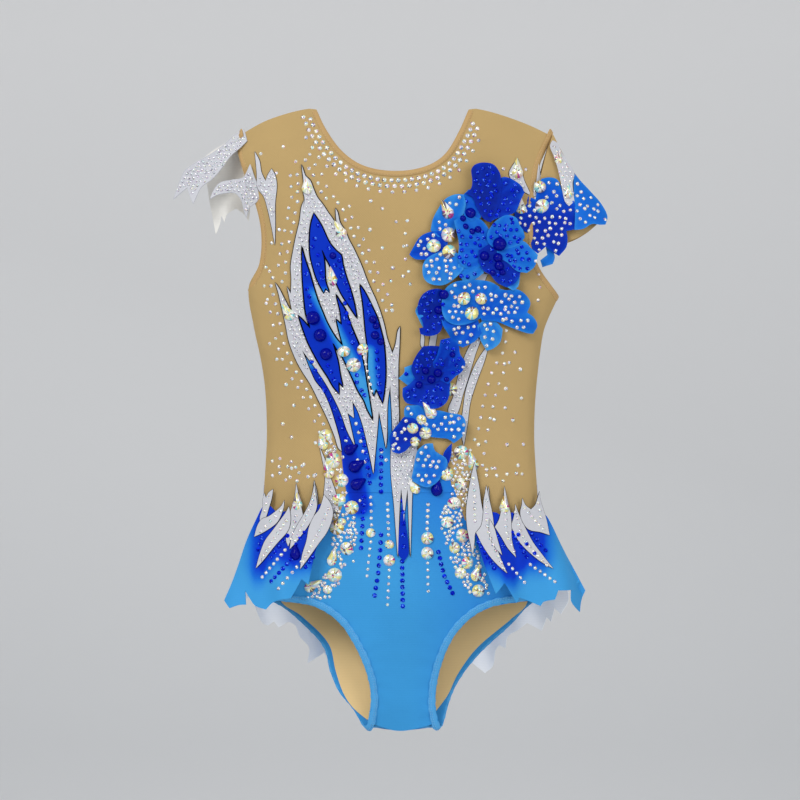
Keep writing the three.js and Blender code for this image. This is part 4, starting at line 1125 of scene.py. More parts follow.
FEATHERS = {
    "sleeve_left_feather_top": (-1, 0.0, [
    (-146, -19.5), (-155.5, -25), (-163.5, -32.5), (-176.5, -42), (-189.5, -49.5),
    (-197, -54), (-202, -58.5), (-207.5, -71.5), (-212, -84.5), (-203.5, -77), (-199, -73.5),
    (-195.5, -83), (-192.5, -90), (-189, -81), (-185, -73.5), (-175, -66), (-165.5, -55),
    (-158, -44.5), (-150.5, -38), (-143, -30.5),
]),
    "sleeve_left_feather_low": (-1, 1.5, [
    (-139.5, -53), (-142.5, -60.5), (-146, -66), (-156, -68), (-167.5, -70.5), (-173, -77),
    (-176.5, -85.5), (-167.5, -81), (-153.5, -80), (-149.5, -83.5), (-147, -87.5),
    (-145, -96), (-143, -103), (-141.5, -97.5), (-139.5, -93), (-135, -89.5),
    (-129.5, -83.5), (-132, -74.5), (-136, -64),
]),
    "sleeve_left_back": (1, 0.0, [
    (-148, -21.5), (-162, -30.5), (-181.5, -43.5), (-189.5, -55), (-182.5, -66),
    (-179.5, -86.5), (-176.5, -103), (-174, -116), (-170, -107), (-168.5, -98.5),
    (-165.5, -105), (-163, -97.5), (-154.5, -92), (-147, -97.5), (-142.5, -104),
    (-141.5, -92), (-143, -77), (-145, -56.5), (-143, -38),
]),
}
# The back feather's white is painted much lighter than the white satin in front: painted light against the
# shade of the feathers over it.
lightened_white = textile("White organza painted lighter", [(232, 230, 224)], 0.0008, 0.0001, rough=0.7, sheen=0.0)
left_sleeve = []
for name, (side, lift, outline) in FEATHERS.items():
    feather = build(name + "_cloth", [cut(outline, side, lift, 0.6, sleeve, grid=2.6)],
                    white_satin if side < 0 else lightened_white, dye=lambda q, e: 0.0)
    sheet(feather, [outline], "hung", "front_bodice_cloth")
    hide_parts(name)
    left_sleeve.append(feather)
left_edge = build("sleeve_left_edging", [c for side, lift, o in list(FEATHERS.values())[:2]
                  for c in cords([o], side, lift, 0.8, sleeve)],
                  textile("White rolled hem", [(186, 188, 194)], 0.0006, 0.00005), dye=lambda q, e: 0.0,
                  smooth=60)
left_sleeve.append(left_edge)

CAP = [(143, -24), (150, -38), (160, -56), (172, -72), (184, -88), (190, -102), (180, -112), (166, -121),
       (150, -127),
       (142, -120), (133, -100), (129, -77), (133, -55), (138, -37)]
nude_cap = textile("Nude sleeve mesh", [(183, 155, 104)], 0.0011, 0.0002, rough=0.85, sheen=0.1, turn=0.785,
                   shade=0.22, cell=True)
right_sleeve = []
for name, side in (("sleeve_right_cap", -1), ("sleeve_right_back", 1)):
    cap = build(name + "_cloth", [cut(CAP, side, 0, 0.6, sleeve, grid=3.0)], nude_cap, dye=lambda q, e: 0.0)
    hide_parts(name)
    sheet(cap, [CAP], "hung", "front_bodice_cloth")
    right_sleeve.append(cap)
SLEEVE_PETALS = [
    (0.30, 1.4, 3, (140, -110), [
    (130.5, -142.5), (137, -137.5), (135.5, -129), (142, -131), (144, -140.5), (142, -146),
    (132.5, -149),
]),
    (0.78, 1.8, 5, (140, -84), [
    (126, -86), (128, -73.5), (131.5, -67), (139, -65.5), (146.5, -68), (151.5, -79.5),
    (161.5, -88), (163.5, -109.5), (161.5, -114.5), (154, -116), (155, -122.5), (154, -131),
    (147.5, -139), (140, -134), (135.5, -130), (128, -136.5), (123, -132), (120.5, -118),
    (111, -113), (106.5, -103), (108, -88), (118.5, -82.5),
]),
    (0.34, 2.4, 7, (165, -75), [
    (162, -60.5), (167.5, -67), (178.5, -78.5), (187, -88), (193.5, -101), (191, -109.5),
    (185, -110), (177.5, -109.5), (170, -114), (161.5, -115), (162.5, -99), (161.5, -77.5),
]),
]


def sleeve_print(strength, fade):
    """Weaker towards the shoulder by fade for each mm above 105 mm below it, and at the cut edge."""
    def dye(q, edge):
        return np.clip(strength - fade * np.clip(q[:, 1] + 105, 0, 60) - 0.16 * np.exp(-edge / 1.6), 0.1, 1)
    return dye


for j, (strength, low, high, middle, outline) in enumerate(SLEEVE_PETALS):
    petal = build(f"sleeve_right_petal_{j + 1}", [
        cut(outline, -1, 0.4, 0.45, sleeve, grid=2.6, rise=petal_rise(middle, 34, low, high, 5))], organza,
        dye=sleeve_print(strength, 0.011 if j == 1 else 0))
    sheet(petal, [outline], "hung", "sleeve_right_cap_cloth")
    right_sleeve.append(petal)
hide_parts("sleeve_petal_outer")
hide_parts("sleeve_petal_inner")
STRIP = [
    (139.5, -36), (142, -30.5), (146.5, -32.5), (150.5, -41), (157, -51), (162.5, -61),
    (160.5, -71), (162, -88), (157, -92.5), (153, -88), (149.5, -71), (147, -58.5),
    (143, -45.5),
]
strip = build("sleeve_right_strip_cloth", [cut(STRIP, -1, 4.2, 0.5, sleeve, grid=2.6)], white_satin,
              dye=lambda q, e: 0.0)
sheet(strip, [STRIP], "hung", "sleeve_right_cap_cloth")
right_sleeve.append(strip)

# --- Crystals ----------------------------------------------------------------------------------------
# Flat-backed cut glass glued on everything: small chatons in rows and scatters, large rivolis and drops, all
# with a rainbow coat, and sapphire chatons, beads and pear cabochons. Each facet is painted one tint: the
# coat's colours, with white and grey facets as painted highlights and painted dark reflections.


def gem(sides, tall, table, point=0.0, dome=False):
    """A stone of radius 1 with its back at height 0: a straight girdle, crown facets and a table, or a
    dome. point draws one end out to a tip. Returns its points and triangles."""
    levels = ([(1, 0), (1, 0.12), (0.86, 0.42), (0.55, 0.75), (0, 0.92)] if dome
              else [(1, 0), (1, 0.10), (table, tall), (0, tall * (0.72 if table < 0.5 else 1.0))])
    v = []
    for j, (r, h) in enumerate(levels[:-1]):
        a = (np.arange(sides) + (0.5 if j == 2 and not dome else 0)) * 2 * math.pi / sides
        stretch = 1 + point * np.clip(np.sin(a), 0, 1) ** 3
        narrow = 1 - 0.25 * point * np.clip(np.sin(a), 0, 1) - 0.12 * point
        v.append(np.stack([r * np.cos(a) * narrow, r * np.sin(a) * stretch, np.full(sides, h)], 1))
    v = np.concatenate([*v, [[0, 0, levels[-1][1]]]])
    k = np.arange(sides)
    n = (k + 1) % sides
    f = [np.stack([j * sides + k, j * sides + n, (j + 1) * sides + k], 1) for j in range(len(levels) - 2)]
    f += [np.stack([j * sides + n, (j + 1) * sides + n, (j + 1) * sides + k],
                   1) for j in range(len(levels) - 2)]
    top = (len(levels) - 2) * sides
    f.append(np.stack([top + k, top + n, np.full(sides, len(v) - 1)], 1))
    return v, np.concatenate(f)


CHATON = gem(8, 0.62, 0.55)
RIVOLI = gem(12, 0.62, 0.34)
DROP = gem(12, 0.55, 0.36, point=1.1)
CABOCHON = gem(14, 0.9, 0, dome=True)
PEAR = gem(14, 0.9, 0, point=0.7, dome=True)


def tree_of(things):
    """A search tree over the faces of several cloths."""
    v, f, start = [], [], 0
    for t in things:
        co = np.zeros(len(t.data.vertices) * 3)
        t.data.vertices.foreach_get("co", co)
        tri = np.zeros(len(t.data.polygons) * 3, np.int32)
        t.data.polygons.foreach_get("vertices", tri)
        v.append(co.reshape(-1, 3))
        f.append(tri.reshape(-1, 3) + start)
        start += len(t.data.vertices)
    return BVHTree.FromPolygons(np.concatenate(v).tolist(), np.concatenate(f).tolist())


def stones(name, shape, places, on, glass, seed, side=-1, tilt=0.10):
    """Stones of one cut on cloths. places are (x, z, diameter, turn in degrees) in mm. Each stone stands
    on the cloth that a line through its place meets first, leaning a little at random. Its facets
    take a random tint number each."""
    rng = np.random.default_rng(seed)
    v, f = shape
    points, tints = [], []
    for x, z, wide, turn in places:
        at, normal, _, _ = on.ray_cast((x / 1000, side * 0.3, z / 1000), (0, -side, 0))
        if at is None:
            continue
        n = np.array(normal) if normal[1] * side > 0 else -np.array(normal)
        n = n * 0.7 + np.array([0, side * 0.3, 0]) + rng.normal(0, tilt, 3) * [1, 0, 1]
        n /= np.linalg.norm(n)
        a = math.radians(turn)
        up = np.array([math.sin(a), 0, math.cos(a)])
        right = np.cross(up, n)
        right /= np.linalg.norm(right)
        up = np.cross(n, right)
        r = wide / 2000
        points.append(np.array(at) - n * 0.0002 + (v[:, :1] * right + v[:, 1:2] * up + v[:, 2:] * n) * r)
        tints.append(rng.random(len(f)))
    if not points:
        return None
    faces = np.concatenate([f + k * len(v) for k in range(len(points))])
    allv = np.concatenate(points)
    thing = build(name, [(allv, faces, np.zeros((len(allv), 2)), np.zeros(len(allv)))], glass,
                  smooth=55 if shape is CABOCHON or shape is PEAR else 0)
    tint = thing.data.attributes.new("tint", "FLOAT", "FACE")
    tint.data.foreach_set("value", np.concatenate(tints).astype(np.float32))
    return thing


def crystal(name, tints, rough, metal, coat=0.0, shine=0.3):
    """Coated cut glass: each facet takes one of the tints, which hold the coat's colours and also painted
    highlights and painted dark reflections.
    """
    made = bpy.data.materials.new(name)
    made.use_nodes = True
    tree = made.node_tree
    bsdf = tree.nodes["Principled BSDF"]
    bsdf.inputs["Roughness"].default_value = rough
    bsdf.inputs["Metallic"].default_value = metal
    bsdf.inputs["Coat Weight"].default_value = coat
    bsdf.inputs["Coat Roughness"].default_value = 0.03
    bsdf.inputs["Specular IOR Level"].default_value = shine
    tint = tree.nodes.new("ShaderNodeAttribute")
    tint.attribute_name = "tint"
    ramp = tree.nodes.new("ShaderNodeValToRGB")
    ramp.color_ramp.interpolation = "CONSTANT"
    while len(ramp.color_ramp.elements) < len(tints):
        ramp.color_ramp.elements.new(0.5)
    for k, (start, colour) in enumerate(tints):
        ramp.color_ramp.elements[k].position = start
        ramp.color_ramp.elements[k].color = linear(*colour)
    tree.links.new(tint.outputs["Fac"], ramp.inputs["Fac"])
    tree.links.new(ramp.outputs["Color"], bsdf.inputs["Base Color"])
    return made


# Coat tints, with white facets as painted highlights and grey facets as painted dark reflections.
RAINBOW_AND_GLINTS = [(0.0, (255, 255, 255)), (0.30, (250, 244, 190)), (0.41, (200, 226, 226)),
           (0.51, (226, 190, 222)), (0.61, (170, 168, 190)),
           (0.70, (164, 232, 226)), (0.76, (240, 226, 200)), (0.84, (112, 104, 118)),
           (0.94, (206, 80, 150)), (0.96, (70, 110, 200))]
aurora = crystal("Aurora crystal", RAINBOW_AND_GLINTS, 0.14, 0.3, coat=0.4)
# Likewise for the large stones: white for painted highlights, dark grey for painted dark reflections.
aurora_big = crystal("Aurora crystal, large",
                     [(0.0, (255, 255, 248)), (0.2, (244, 236, 150)), (0.42, (226, 240, 214)),
                     (0.56, (236, 208, 196)), (0.66, (150, 226, 232)), (0.76, (206, 200, 216)),
                     (0.86, (112, 96, 110)),
                     (0.93, (188, 150, 60)), (0.97, (200, 60, 150))], 0.10, 0.2, coat=0.5)
# Clear glass: its white and grey facets are painted highlights and painted reflections, with faint coat
# tints.
silver = crystal("Clear crystal", [(0.0, (244, 244, 250)), (0.3, (168, 166, 182)), (0.5, (206, 232, 224)),
                                   (0.62, (226, 204, 230)),
                                   (0.74, (104, 102, 120)), (0.9, (250, 246, 214))], 0.16, 0.25, coat=0.3)
# The palest blue tint, on a tenth of the facets, is a painted highlight.
sapphire = crystal("Sapphire glass", [(0.0, (4, 26, 190)), (0.35, (2, 10, 128)), (0.6, (10, 50, 232)), (0.9,
    (90, 150, 255))],
                   0.3, 0.0, shine=0.04)
cobalt = crystal("Cobalt cabochon", [(0.0, (0, 8, 140)), (0.5, (0, 8, 140))], 0.1, 0.0, coat=0.16, shine=0.05)


def row(points, count, wide, turn=0):
    """Stones evenly along a line through points."""
    p = curve(points, 1.0, closed=False) if len(points) > 2 else np.array(points, float)
    length = np.concatenate([[0], np.cumsum(np.hypot(*np.diff(p, axis=0).T))])
    at = np.linspace(0, length[-1], count)
    return [(np.interp(a, length, p[:, 0]), np.interp(a, length, p[:, 1]), wide, turn) for a in at]


def scatter(outline, pitch, wide, seed, margin=2.2, off=(), jitter=0.22):
    """Stones over an outline at about one pitch from each other, a margin in from its edge and off the
    outlines in `off`."""
    rng = np.random.default_rng(seed)
    ring = curve(outline, 3)
    lo, hi = ring.min(0), ring.max(0)
    gx, gz = np.meshgrid(np.arange(lo[0], hi[0], pitch), np.arange(lo[1], hi[1], pitch * 0.87))
    gx[1::2] += pitch / 2
    q = np.stack([gx.ravel(), gz.ravel()], 1)
    q = q + rng.uniform(-jitter, jitter, q.shape) * pitch
    keep = inside(q, ring) & (reach(q, ring) > margin)
    for other in off:
        hole = curve(other, 3)
        keep &= ~inside(q, hole) & (reach(q, hole) > margin)
    return [(x, z, wide * w, t) for (x, z), w,
            t in zip(q[keep], rng.uniform(0.9, 1.1, keep.sum()), rng.uniform(0, 45, keep.sum()))]


def small(places, wide):
    """The same stone at each of the places."""
    return [(x, z, wide, 20 * k % 45) for k, (x, z) in enumerate(places)]


def free(places, large):
    """The places that no large stone covers."""
    x, z, wide, _ = np.array(large).T
    return [p for p in places if np.min(np.hypot(x - p[0], z - p[1]) - wide / 2) > 1.0]


front_tree = tree_of([bodices[0], front_brief, flame, tongues, motif, wedge, spikes, *flower_cloths])

# Small aurora chatons: on every white band, round the neck and sparsely over the mesh.
neck = curve(NECK_FRONT, 1.0, closed=False)
neck_rows = []
for out, pitch, wide, first, last in ((9, 6.2, 4.7, 0.03, 0.97), (14.5, 6.4, 4.7, 0.02, 0.98),
                                      (20, 9.5, 3.9, 0.10, 0.92)):
    way = neck - np.array([-7, 8])
    line = neck + way / np.hypot(*way.T)[:, None] * out
    line = line[(line[:, 1] < -5)]
    span = len(line)
    line = line[int(span * first):int(span * last)]
    neck_rows += row(line[::12].tolist(), int(len(line) * 1.12 / pitch), wide)
whites = scatter(FLAME, 4.5, 3.3, 1, 1.6, off=TONGUES, jitter=0.10)
whites += scatter(MOTIF, 4.6, 3.2, 2, 1.6, off=[WEDGE], jitter=0.12)
for k, outline in enumerate(SPIKES[:9]):
    whites += scatter(outline, 4.5, 3.1, 3 + k, 1.5, jitter=0.12)
beside = []
for offset, pitch, wide in ((5.5, 7.5, 3.7), (12, 9.5, 3.4)):
    ring = curve(FLAME, 3)
    away = np.roll(ring, -3, 0) - np.roll(ring, 3, 0)
    line = ring + np.stack([away[:, 1], -away[:, 0]], 1) / np.maximum(np.hypot(*away.T), 1)[:, None] * -offset
    keep = ~inside(line, ring) & (reach(line, ring) > offset * 0.8) & (line[:, 1] > -330)
    line = line[keep]
    chosen = [line[0]]
    for p in line[1:]:
        if np.min(np.hypot(*(np.array(chosen) - p).T)) > pitch:
            chosen.append(p)
    beside += [(x, z, wide, 0) for x, z in chosen]
beside = [p for p in beside if not (p[0] > -12 and p[1] < -190)]
flower_rings = [o for _, _, petals in FLOWERS.values() for *_, o in petals]
mesh_field = [
    (-93, -27), (-65, -68), (0, -86.5), (65, -68), (111.5, -30.5), (135, -40),
    (124.5, -86.5), (123.5, -123.5), (127.5, -165.5), (126.5, -226), (123, -272.5),
    (119, -309.5), (122, -337.5), (124.5, -349), (74.5, -349), (65, -319), (80, -272.5),
    (93, -228), (121, -226), (123, -179.5), (111.5, -142.5), (51, -86.5), (37, -77),
    (9.5, -91), (0, -207.5), (-7.5, -207.5), (-26, -142.5), (-51, -86.5), (-79, -40),
    (-93, -54), (-102.5, -114.5), (-114.5, -179.5), (-107, -226), (-79, -291), (-67, -319),
    (-70, -337.5), (-76.5, -349), (-124.5, -349), (-121, -309.5), (-123, -272.5),
    (-126.5, -226), (-132, -170), (-130, -123.5), (-128.5, -96), (-137.5, -49.5),
    (-128.5, -30.5),
]
sparse = scatter(mesh_field, 21, 3.7, 20, 4, off=[FLAME, *flower_rings], jitter=0.3)
gap = scatter([(0, -96), (14, -96), (11, -161), (4.5, -207.5), (0, -272.5), (-2, -207.5)], 15, 3.4, 21, 3,
              off=flower_rings, jitter=0.3)
low_left = scatter([(-121, -323.5), (-93, -330), (-76.5, -337.5), (-78, -349.5), (-123, -349.5)], 8.5, 3.6,
                   22, 1, off=SPIKES, jitter=0.3)
low_right = scatter([(78, -330), (97.5, -335.5), (119, -330), (123.5, -349.5), (78, -349.5)], 8.5, 3.6, 23,
                    1, off=SPIKES, jitter=0.3)
flower_side = row([(97.5, -176), (97.5, -221.5), (85.5, -246.5), (78, -272.5), (72.5, -300.5), (65, -319)],
                  15, 3.5)
flower_side += row([(107, -228), (93, -254), (85.5, -282), (80, -309.5), (76.5, -333)], 11, 3.4)
flower_side += row([(6.5, -107), (3.5, -133), (7.5, -151.5), (9.5, -165.5)], 6,
                   3.4) + row([(125.5, -144), (130, -161), (128.5, -179.5)], 4, 3.4)
chatons = stones("chatons_small", CHATON,
                 neck_rows + beside + sparse + gap + low_left + low_right + flower_side,
                 front_tree, aurora, 101)
# Each petal has its own scatter, kept off the petals that lie over it and the large stones.
white_stones = stones("band_clear_chatons", CHATON, whites, front_tree, silver, 120)
petal_places = {"aurora": [], "sapphire": []}
stack = [(name, outline) for name, (_, _, petals) in FLOWERS.items() for *_, outline in petals]
for k, (name, outline) in enumerate(stack):
    clear_glass = name in ("petals_pale", "flower_middle", "flower_bottom", "leaf")
    over = [o for _, o in stack[k + 1:]]
    petal_places["aurora" if clear_glass else "sapphire"] += scatter(
        outline, 6.9 if clear_glass else 6.5, 3.8 if clear_glass else 4.0, 200 + k, 1.9, off=over,
        jitter=0.26)

# The two crystal bands between the centre and the hips: small chatons round large rivolis and drops.
LEFT_BAND = [
    (-75.5, -300.5), (-68, -302), (-59.5, -315.5), (-54, -330), (-50, -347), (-46.5, -365.5),
    (-40, -384), (-41, -407.5), (-51, -426), (-56, -444.5), (-65, -455.5), (-85.5, -458.5),
    (-87.5, -451), (-76.5, -443.5), (-67, -427), (-63, -407.5), (-62.5, -388.5), (-64, -375),
    (-57.5, -361), (-63, -347), (-69, -330),
]
RIGHT_BAND = [
    (48.5, -315.5), (65, -319), (69, -337.5), (65, -361), (59.5, -375.5), (61.5, -393.5),
    (70.5, -410), (78, -427), (84.5, -450), (76.5, -457.5), (63, -451), (54, -440),
    (46.5, -421.5), (41, -402.5), (37, -382), (43.5, -365.5), (48.5, -347), (44.5, -330),
]
BIGS = [
    (-69, -306, 13, 0), (-61.5, -328.5, 15, 20), (-54, -347, 13, 40),
    (-56.5, -365.5, 13, 10), (-44.5, -372, 13, 30), (-58.5, -390.5, 14, 0),
    (-49.5, -410, 13, 15), (-60.5, -434.5, 14, 5), (56.5, -321, 13.5, 0),
    (56.5, -350.5, 12, 10), (50, -368.5, 13, 20), (43.5, -385, 12, 0), (57.5, -398, 13, 30),
    (50, -409, 11, 0), (62.5, -423, 12, 15), (56, -432.5, 11, 0), (72.5, -449, 12, 20),
    (-52, -227, 12, 0), (-34, -226, 12, 20), (-43, -240, 13.5, 5), (43, -340.5, 13.5, 10),
    (25, -400, 12, 0), (25, -414, 12, 10), (-10, -406, 9, 0), (-10, -420.5, 11, 0),
    (-27, -395, 9, 0), (-69, -375, 10, 0), (-67, -447.5, 9, 0), (-54, -386, 9, 0),
]
BIGS += [(45, -120, 14, 0), (31, -130, 13.5, 20), (45.5, -136, 13.5, 10)] + [
    (58.5, -178.5, 13, 0), (75, -178.5, 12, 20), (66, -192, 13.5, 10),
    (47, -262.5, 12.5, 30),
]
BIGS += [
    (19.5, -291, 10, 0), (11.5, -299, 11, 20), (23.5, -303, 11.5, 10), (14, -311, 9.5, 0),
    (57, -321, 13, 0),
]
DROPS = [
    (-71.5, -313.5, 11, -25), (-66, -339.5, 12, -15), (-62.5, -420.5, 12, 10),
    (-83, -445.5, 12, 60), (68, -332, 12, -15), (70.5, -434.5, 12, 20),
    (14, -353.5, 12, -30),
]
DROPS += [(-86, -76, 12, -5), (-54.5, -118, 12.5, -28)] + [(-103, -193, 12, -35), (-63, -161, 12, -6)]
DROPS += [(44, -99.5, 13, -25), (109, -60.5, 13, 0), (111.5, -94.5, 14, -5)] + [(28.5, -284.5, 12.5, -35)]
bands = scatter(LEFT_BAND, 4.0, 3.5, 31, 0.5, jitter=0.25) + scatter(RIGHT_BAND, 4.0, 3.5, 32, 0.5,
    jitter=0.25)
bands = free(bands, BIGS + DROPS)
petal_stones = stones("petal_chatons", CHATON, free(petal_places["aurora"], BIGS + DROPS), front_tree,
                      aurora, 102)
band_stones = stones("band_chatons", CHATON, bands, front_tree, aurora, 103)
rivolis = stones("rivolis", RIVOLI, BIGS, front_tree, aurora_big, 104, tilt=0.13)
drops = stones("drops", DROP, DROPS, front_tree, aurora_big, 105, tilt=0.13)

# Rows of aurora chatons that hang down the centre like strings of beads.
strings = []
for line, count, wide in (
    ([(-27, -362.5), (-26.5, -388)], 5, 3.4), ([(-27, -403.5), (-30.5, -435)], 6, 3.2),
    ([(-11.5, -368.5), (-10.5, -397)], 6, 3.6),
    ([(-10, -429.5), (-11.5, -461.5)], 6, 3.2), ([(26, -369), (25, -391.5)], 5, 3.8),
    ([(25.5, -423), (26, -449)], 5, 3.2),
    ([(-46.5, -394.5), (-43, -421.5)], 4, 3.0), ([(-51, -370), (-37, -365.5)], 2, 3.0),
    ([(-33, -233.5), (-30, -246.5), (-27, -259.5), (-25, -270.5)], 7, 3.6),
):
    strings += row(line, count, wide)
string_stones = stones("string_chatons", CHATON, strings, front_tree, aurora, 106)

# Sapphire chatons in rows and on the royal petals, and shiny cobalt beads and cabochons.
blues = []
for line, count in (
    ([(-17.5, -319), (-17.5, -357)], 7), ([(-35.5, -300.5), (-31.5, -323.5), (-28, -349)], 8),
    ([(-33.5, -362.5), (-34.5, -384), (-36, -409)], 8),
    ([(-17.5, -397), (-19.5, -426), (-23.5, -453)], 9), ([(2, -421.5), (2.5, -463)], 8),
    ([(35.5, -413), (41, -435), (48.5, -451)], 8),
    ([(-70, -264), (-61.5, -279), (-54, -295), (-50, -308)], 6),
    ([(-51, -183), (-49.5, -193.5), (-45.5, -207.5), (-43.5, -219.5)], 5),
    ([(-21.5, -228), (-20.5, -246.5), (-18.5, -265)], 6),
    ([(-82, -237), (-75.5, -250), (-70, -261.5)], 4), ([(2, -365.5), (3, -384), (3.5, -407.5)], 5),
):
    blues += row(line, count, 4.6)
blues += small([
    (-75.5, -111), (-79, -123.5), (-81, -131), (-76, -138.5), (-75.5, -147), (-73, -154),
    (-65.5, -132), (-56, -143.5), (-60, -148), (-54.5, -151), (-54, -158),
], 4.4)
blues += small([
    (-73, -154.5), (-71.5, -160), (-87, -155.5), (-86, -169.5), (-84, -176.5), (-83, -184.5),
    (-67, -240.5), (-64, -246.5), (-61, -253.5), (-40, -249.5), (-40, -256), (-35.5, -263.5),
    (-33, -268), (-53, -157), (-50.5, -164.5), (-47.5, -171), (-45.5, -178.5),
    (-28.5, -184.5), (-29, -191.5), (-51, -197),
], 4.4)
BEADS = [(-62, -139, 6.5, 0)] + [(-25, -198, 7.5, 0), (-22, -204, 6.5, 0), (-23, -212.5, 8, 0),
                                 (-18, -218.5, 6.5, 0)]
BEADS += [(-80.5, -196.5, 13, 0), (-74, -212.5, 12, 0), (-68.5, -230, 11.5, 0)]
BEADS += [
    (92, -128.5, 13, 0), (65, -100, 10, 0), (72, -115, 6.5, 0), (58, -105, 6, 0),
    (60.5, -112.5, 6, 0), (66.5, -117, 6, 0), (78, -139.5, 9, 0), (90.5, -141, 9, 0),
    (91.5, -148.5, 9, 0), (85.5, -155, 6, 0), (94.5, -154.5, 6, 0),
]
BEADS += [
    (40.5, -175.5, 9, 0), (35.5, -189.5, 8, 0), (48.5, -230.5, 5.5, 0), (23.5, -245.5, 7, 0),
    (29, -253.5, 8, 0), (17.5, -258.5, 7, 0), (35, -247.5, 8, 0), (43, -253.5, 5, 0),
]
blues += free(petal_places["sapphire"], BEADS + BIGS)
blue_stones = stones("sapphire_chatons", CHATON, blues, front_tree, sapphire, 107)
beads = stones("cobalt_beads", CABOCHON, BEADS, front_tree, cobalt, 108, tilt=0.03)
PEARS = [(-46.5, -318.5, 11, 60), (-41.5, -334, 12.5, 60), (-40, -350.5, 12, 60)] + [(34, -355.5, 12, 10)]
pears = stones("cobalt_pears", PEAR, PEARS, front_tree, cobalt, 109, tilt=0.03)
for thing, glass in ((chatons, "crystal_ab"), (white_stones, "crystal_ab"), (petal_stones, "crystal_ab"),
                     (band_stones, "crystal_ab"), (rivolis, "crystal_ab"),
                     (drops, "crystal_ab"), (string_stones, "crystal_ab"), (blue_stones, "sapphire_glass"),
                     (beads, "sapphire_glass"), (pears, "sapphire_glass")):
    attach(thing, "root")
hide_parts("stone_flame_a", "stone_flame_b", "stone_column_left", "stone_column_right",
            "stone_flower",
            "stone_petals", "stone_lower", "stone_centre")
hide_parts("cabochon_upper")

# Two rows of small crystals on the back, round the neck, and a sparse scatter below them.
back_rows = []
back_neck = curve(NECK_BACK, 1.0, closed=False)
for out, pitch in ((9, 7), (14, 9)):
    way = back_neck - np.array([-7, 8])
    line = back_neck + way / np.hypot(*way.T)[:, None] * out
    line = line[line[:, 1] < -8]
    back_rows += row(line[::12].tolist(), int(len(line) * 1.12 / pitch), 3.4)
back_rows += scatter(mesh_field, 30, 3.0, 40, 4, jitter=0.3)
back_stones = stones("back_chatons", CHATON, back_rows, tree_of([bodices[1]]), aurora, 110, side=1)
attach(back_stones, "root")

# Crystals on the skirt flaps and the sleeves.
HINGES = {
    "skirt_front_left": ((-0.095, -0.02, -0.352), (-0.095, -0.02, -0.366)),
    "skirt_front_right": ((0.10, -0.02, -0.352), (0.10, -0.02, -0.366)),
    "skirt_back": ((0, 0.03, -0.352), (0, 0.03, -0.366)),
    "sleeve_left": ((-0.146, 0, -0.05), (-0.158, 0, -0.05)),
    "sleeve_right": ((0.14, 0, -0.024), (0.14, 0, -0.040)),
}
flap_stones = {"skirt_front_left": [], "skirt_front_right": [], "sleeve_left": [], "sleeve_right": []}
left_tree = tree_of([skirts["skirt_front_left"], flap_whites["skirt_front_left"][0]])
right_tree = tree_of([skirts["skirt_front_right"], flap_whites["skirt_front_right"][0]])
for side_name, tree, ab, dots in (
    ("left", left_tree, (
        ([(-110.5, -375.5), (-129.5, -394.5)], 5), ([(-105, -384), (-116, -400), (-128.5, -420.5)], 10),
        ([(-96, -379.5), (-100.5, -401)], 5),
        ([(-79, -360), (-85.5, -378.5), (-96.5, -402.5)], 10),
        ([(-66, -373), (-76.5, -397), (-89.5, -421.5)], 11), ([(-123, -362.5), (-125.5, -375.5)], 3),
        ([(-106, -411), (-127, -436)], 7), ([(-91, -421.5), (-111.5, -445.5)], 6)), (
        ([(-128.5, -401), (-131.5, -411)], 3), ([(-104, -398), (-119, -417.5)], 5),
        ([(-100.5, -419.5), (-118.5, -439.5)], 6),
        ([(-70.5, -403.5), (-86.5, -426)], 6), ([(-88.5, -394.5), (-96, -405.5)], 3))),
    ("right", right_tree, (
        ([(68, -345), (69, -365.5), (69, -384)], 8), ([(80, -365.5), (81, -391.5), (95, -427)], 12),
        ([(97.5, -365.5), (98.5, -393.5), (105, -412)], 9),
        ([(107, -376.5), (114.5, -401), (136, -425)], 11), ([(115.5, -373), (133, -392.5)], 6),
        ([(128.5, -368.5), (131, -381.5)], 3),
        ([(100, -423.5), (114.5, -440.5)], 5), ([(120.5, -424.5), (143, -440.5)], 6)), (
        ([(72.5, -403.5), (86.5, -427)], 6), ([(90, -398), (95, -406.5)], 2),
        ([(104, -395), (117, -417.5)], 6), ([(122, -397), (135, -412)], 4),
        ([(109.5, -397), (124.5, -414)], 3))),
):
    places = [p for line, count in ab for p in row(line, count, 3.6)]
    flap_stones["skirt_front_" + side_name].append(
        (stones(f"hip_{side_name}_chatons", CHATON, places, tree, aurora, 111), "crystal_ab"))
    places = [p for line, count in dots for p in row(line, count, 4.4)]
    flap_stones["skirt_front_" + side_name].append(
        (stones(f"hip_{side_name}_sapphires", CHATON, places, tree, sapphire, 112), "sapphire_glass"))
flap_stones["skirt_front_left"].append((stones("hip_left_drops", DROP, [(-95, -369, 11, 0)], left_tree,
                                               aurora_big, 113), "crystal_ab"))
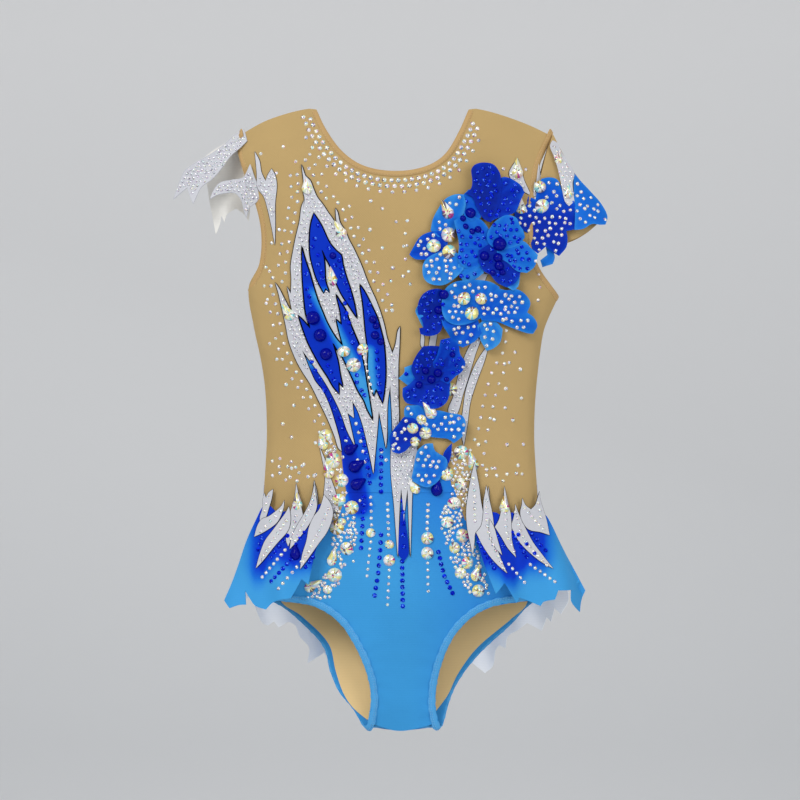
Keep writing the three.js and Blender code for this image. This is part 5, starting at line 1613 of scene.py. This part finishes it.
flap_stones["skirt_front_left"].append((stones("hip_left_pear", PEAR, [(-96.5, -415, 11, 0)], left_tree,
                                               cobalt, 119, tilt=0.03), "sapphire_glass"))
flap_stones["skirt_front_right"].append((stones("hip_right_drops", DROP, [(96.5, -372, 11, 0)], right_tree,
                                                aurora_big, 114), "crystal_ab"))
left_sleeve_tree = tree_of(left_sleeve[:3])
feather_places = [p for k, name in enumerate(("sleeve_left_feather_top", "sleeve_left_feather_low"))
                  for p in scatter(FEATHERS[name][2], 4.2, 3.3, 61 + k, 1.2, jitter=0.15)]
flap_stones["sleeve_left"].append((stones("sleeve_left_chatons", CHATON, feather_places, left_sleeve_tree,
                                          silver, 115), "crystal_ab"))
right_sleeve_tree = tree_of(right_sleeve)
sleeve_bigs = [(132.5, -92.5, 14, 0), (130, -74.5, 11.5, 20)]
sleeve_drops = [(147.5, -48.5, 9, 10), (156, -80.5, 9.5, 5)]
petal_outlines = [petal[-1] for petal in SLEEVE_PETALS]
sleeve_places = [p for k, o in enumerate(petal_outlines)
                 for p in scatter(o, 7.0, 3.7, 71 + k, 1.8, off=[*petal_outlines[k + 1:], STRIP],
                                  jitter=0.28)]
sleeve_places = free(sleeve_places, sleeve_bigs + sleeve_drops) + scatter(STRIP, 4.6, 3.0, 63, 0.8,
    jitter=0.15)
flap_stones["sleeve_right"].append((stones("sleeve_right_chatons", CHATON, sleeve_places, right_sleeve_tree,
                                           aurora, 116), "crystal_ab"))
flap_stones["sleeve_right"].append((stones("sleeve_right_rivolis", RIVOLI, sleeve_bigs, right_sleeve_tree,
                                           aurora_big, 117), "crystal_ab"))
flap_stones["sleeve_right"].append((stones("sleeve_right_drops", DROP, sleeve_drops, right_sleeve_tree,
                                           aurora_big, 118), "crystal_ab"))

# --- Skirt flaps, sleeves and their crystals: their placement baked into their meshes ------------------
for body_name, (start, end) in HINGES.items():
    moving = [thing for thing, _ in flap_stones.get(body_name, [])]
    if body_name in skirts:
        moving += [skirts[body_name], *flap_whites.get(body_name, [])]
    moving += {"sleeve_left": left_sleeve, "sleeve_right": right_sleeve}.get(body_name, [])
    for thing in moving:
        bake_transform(thing)
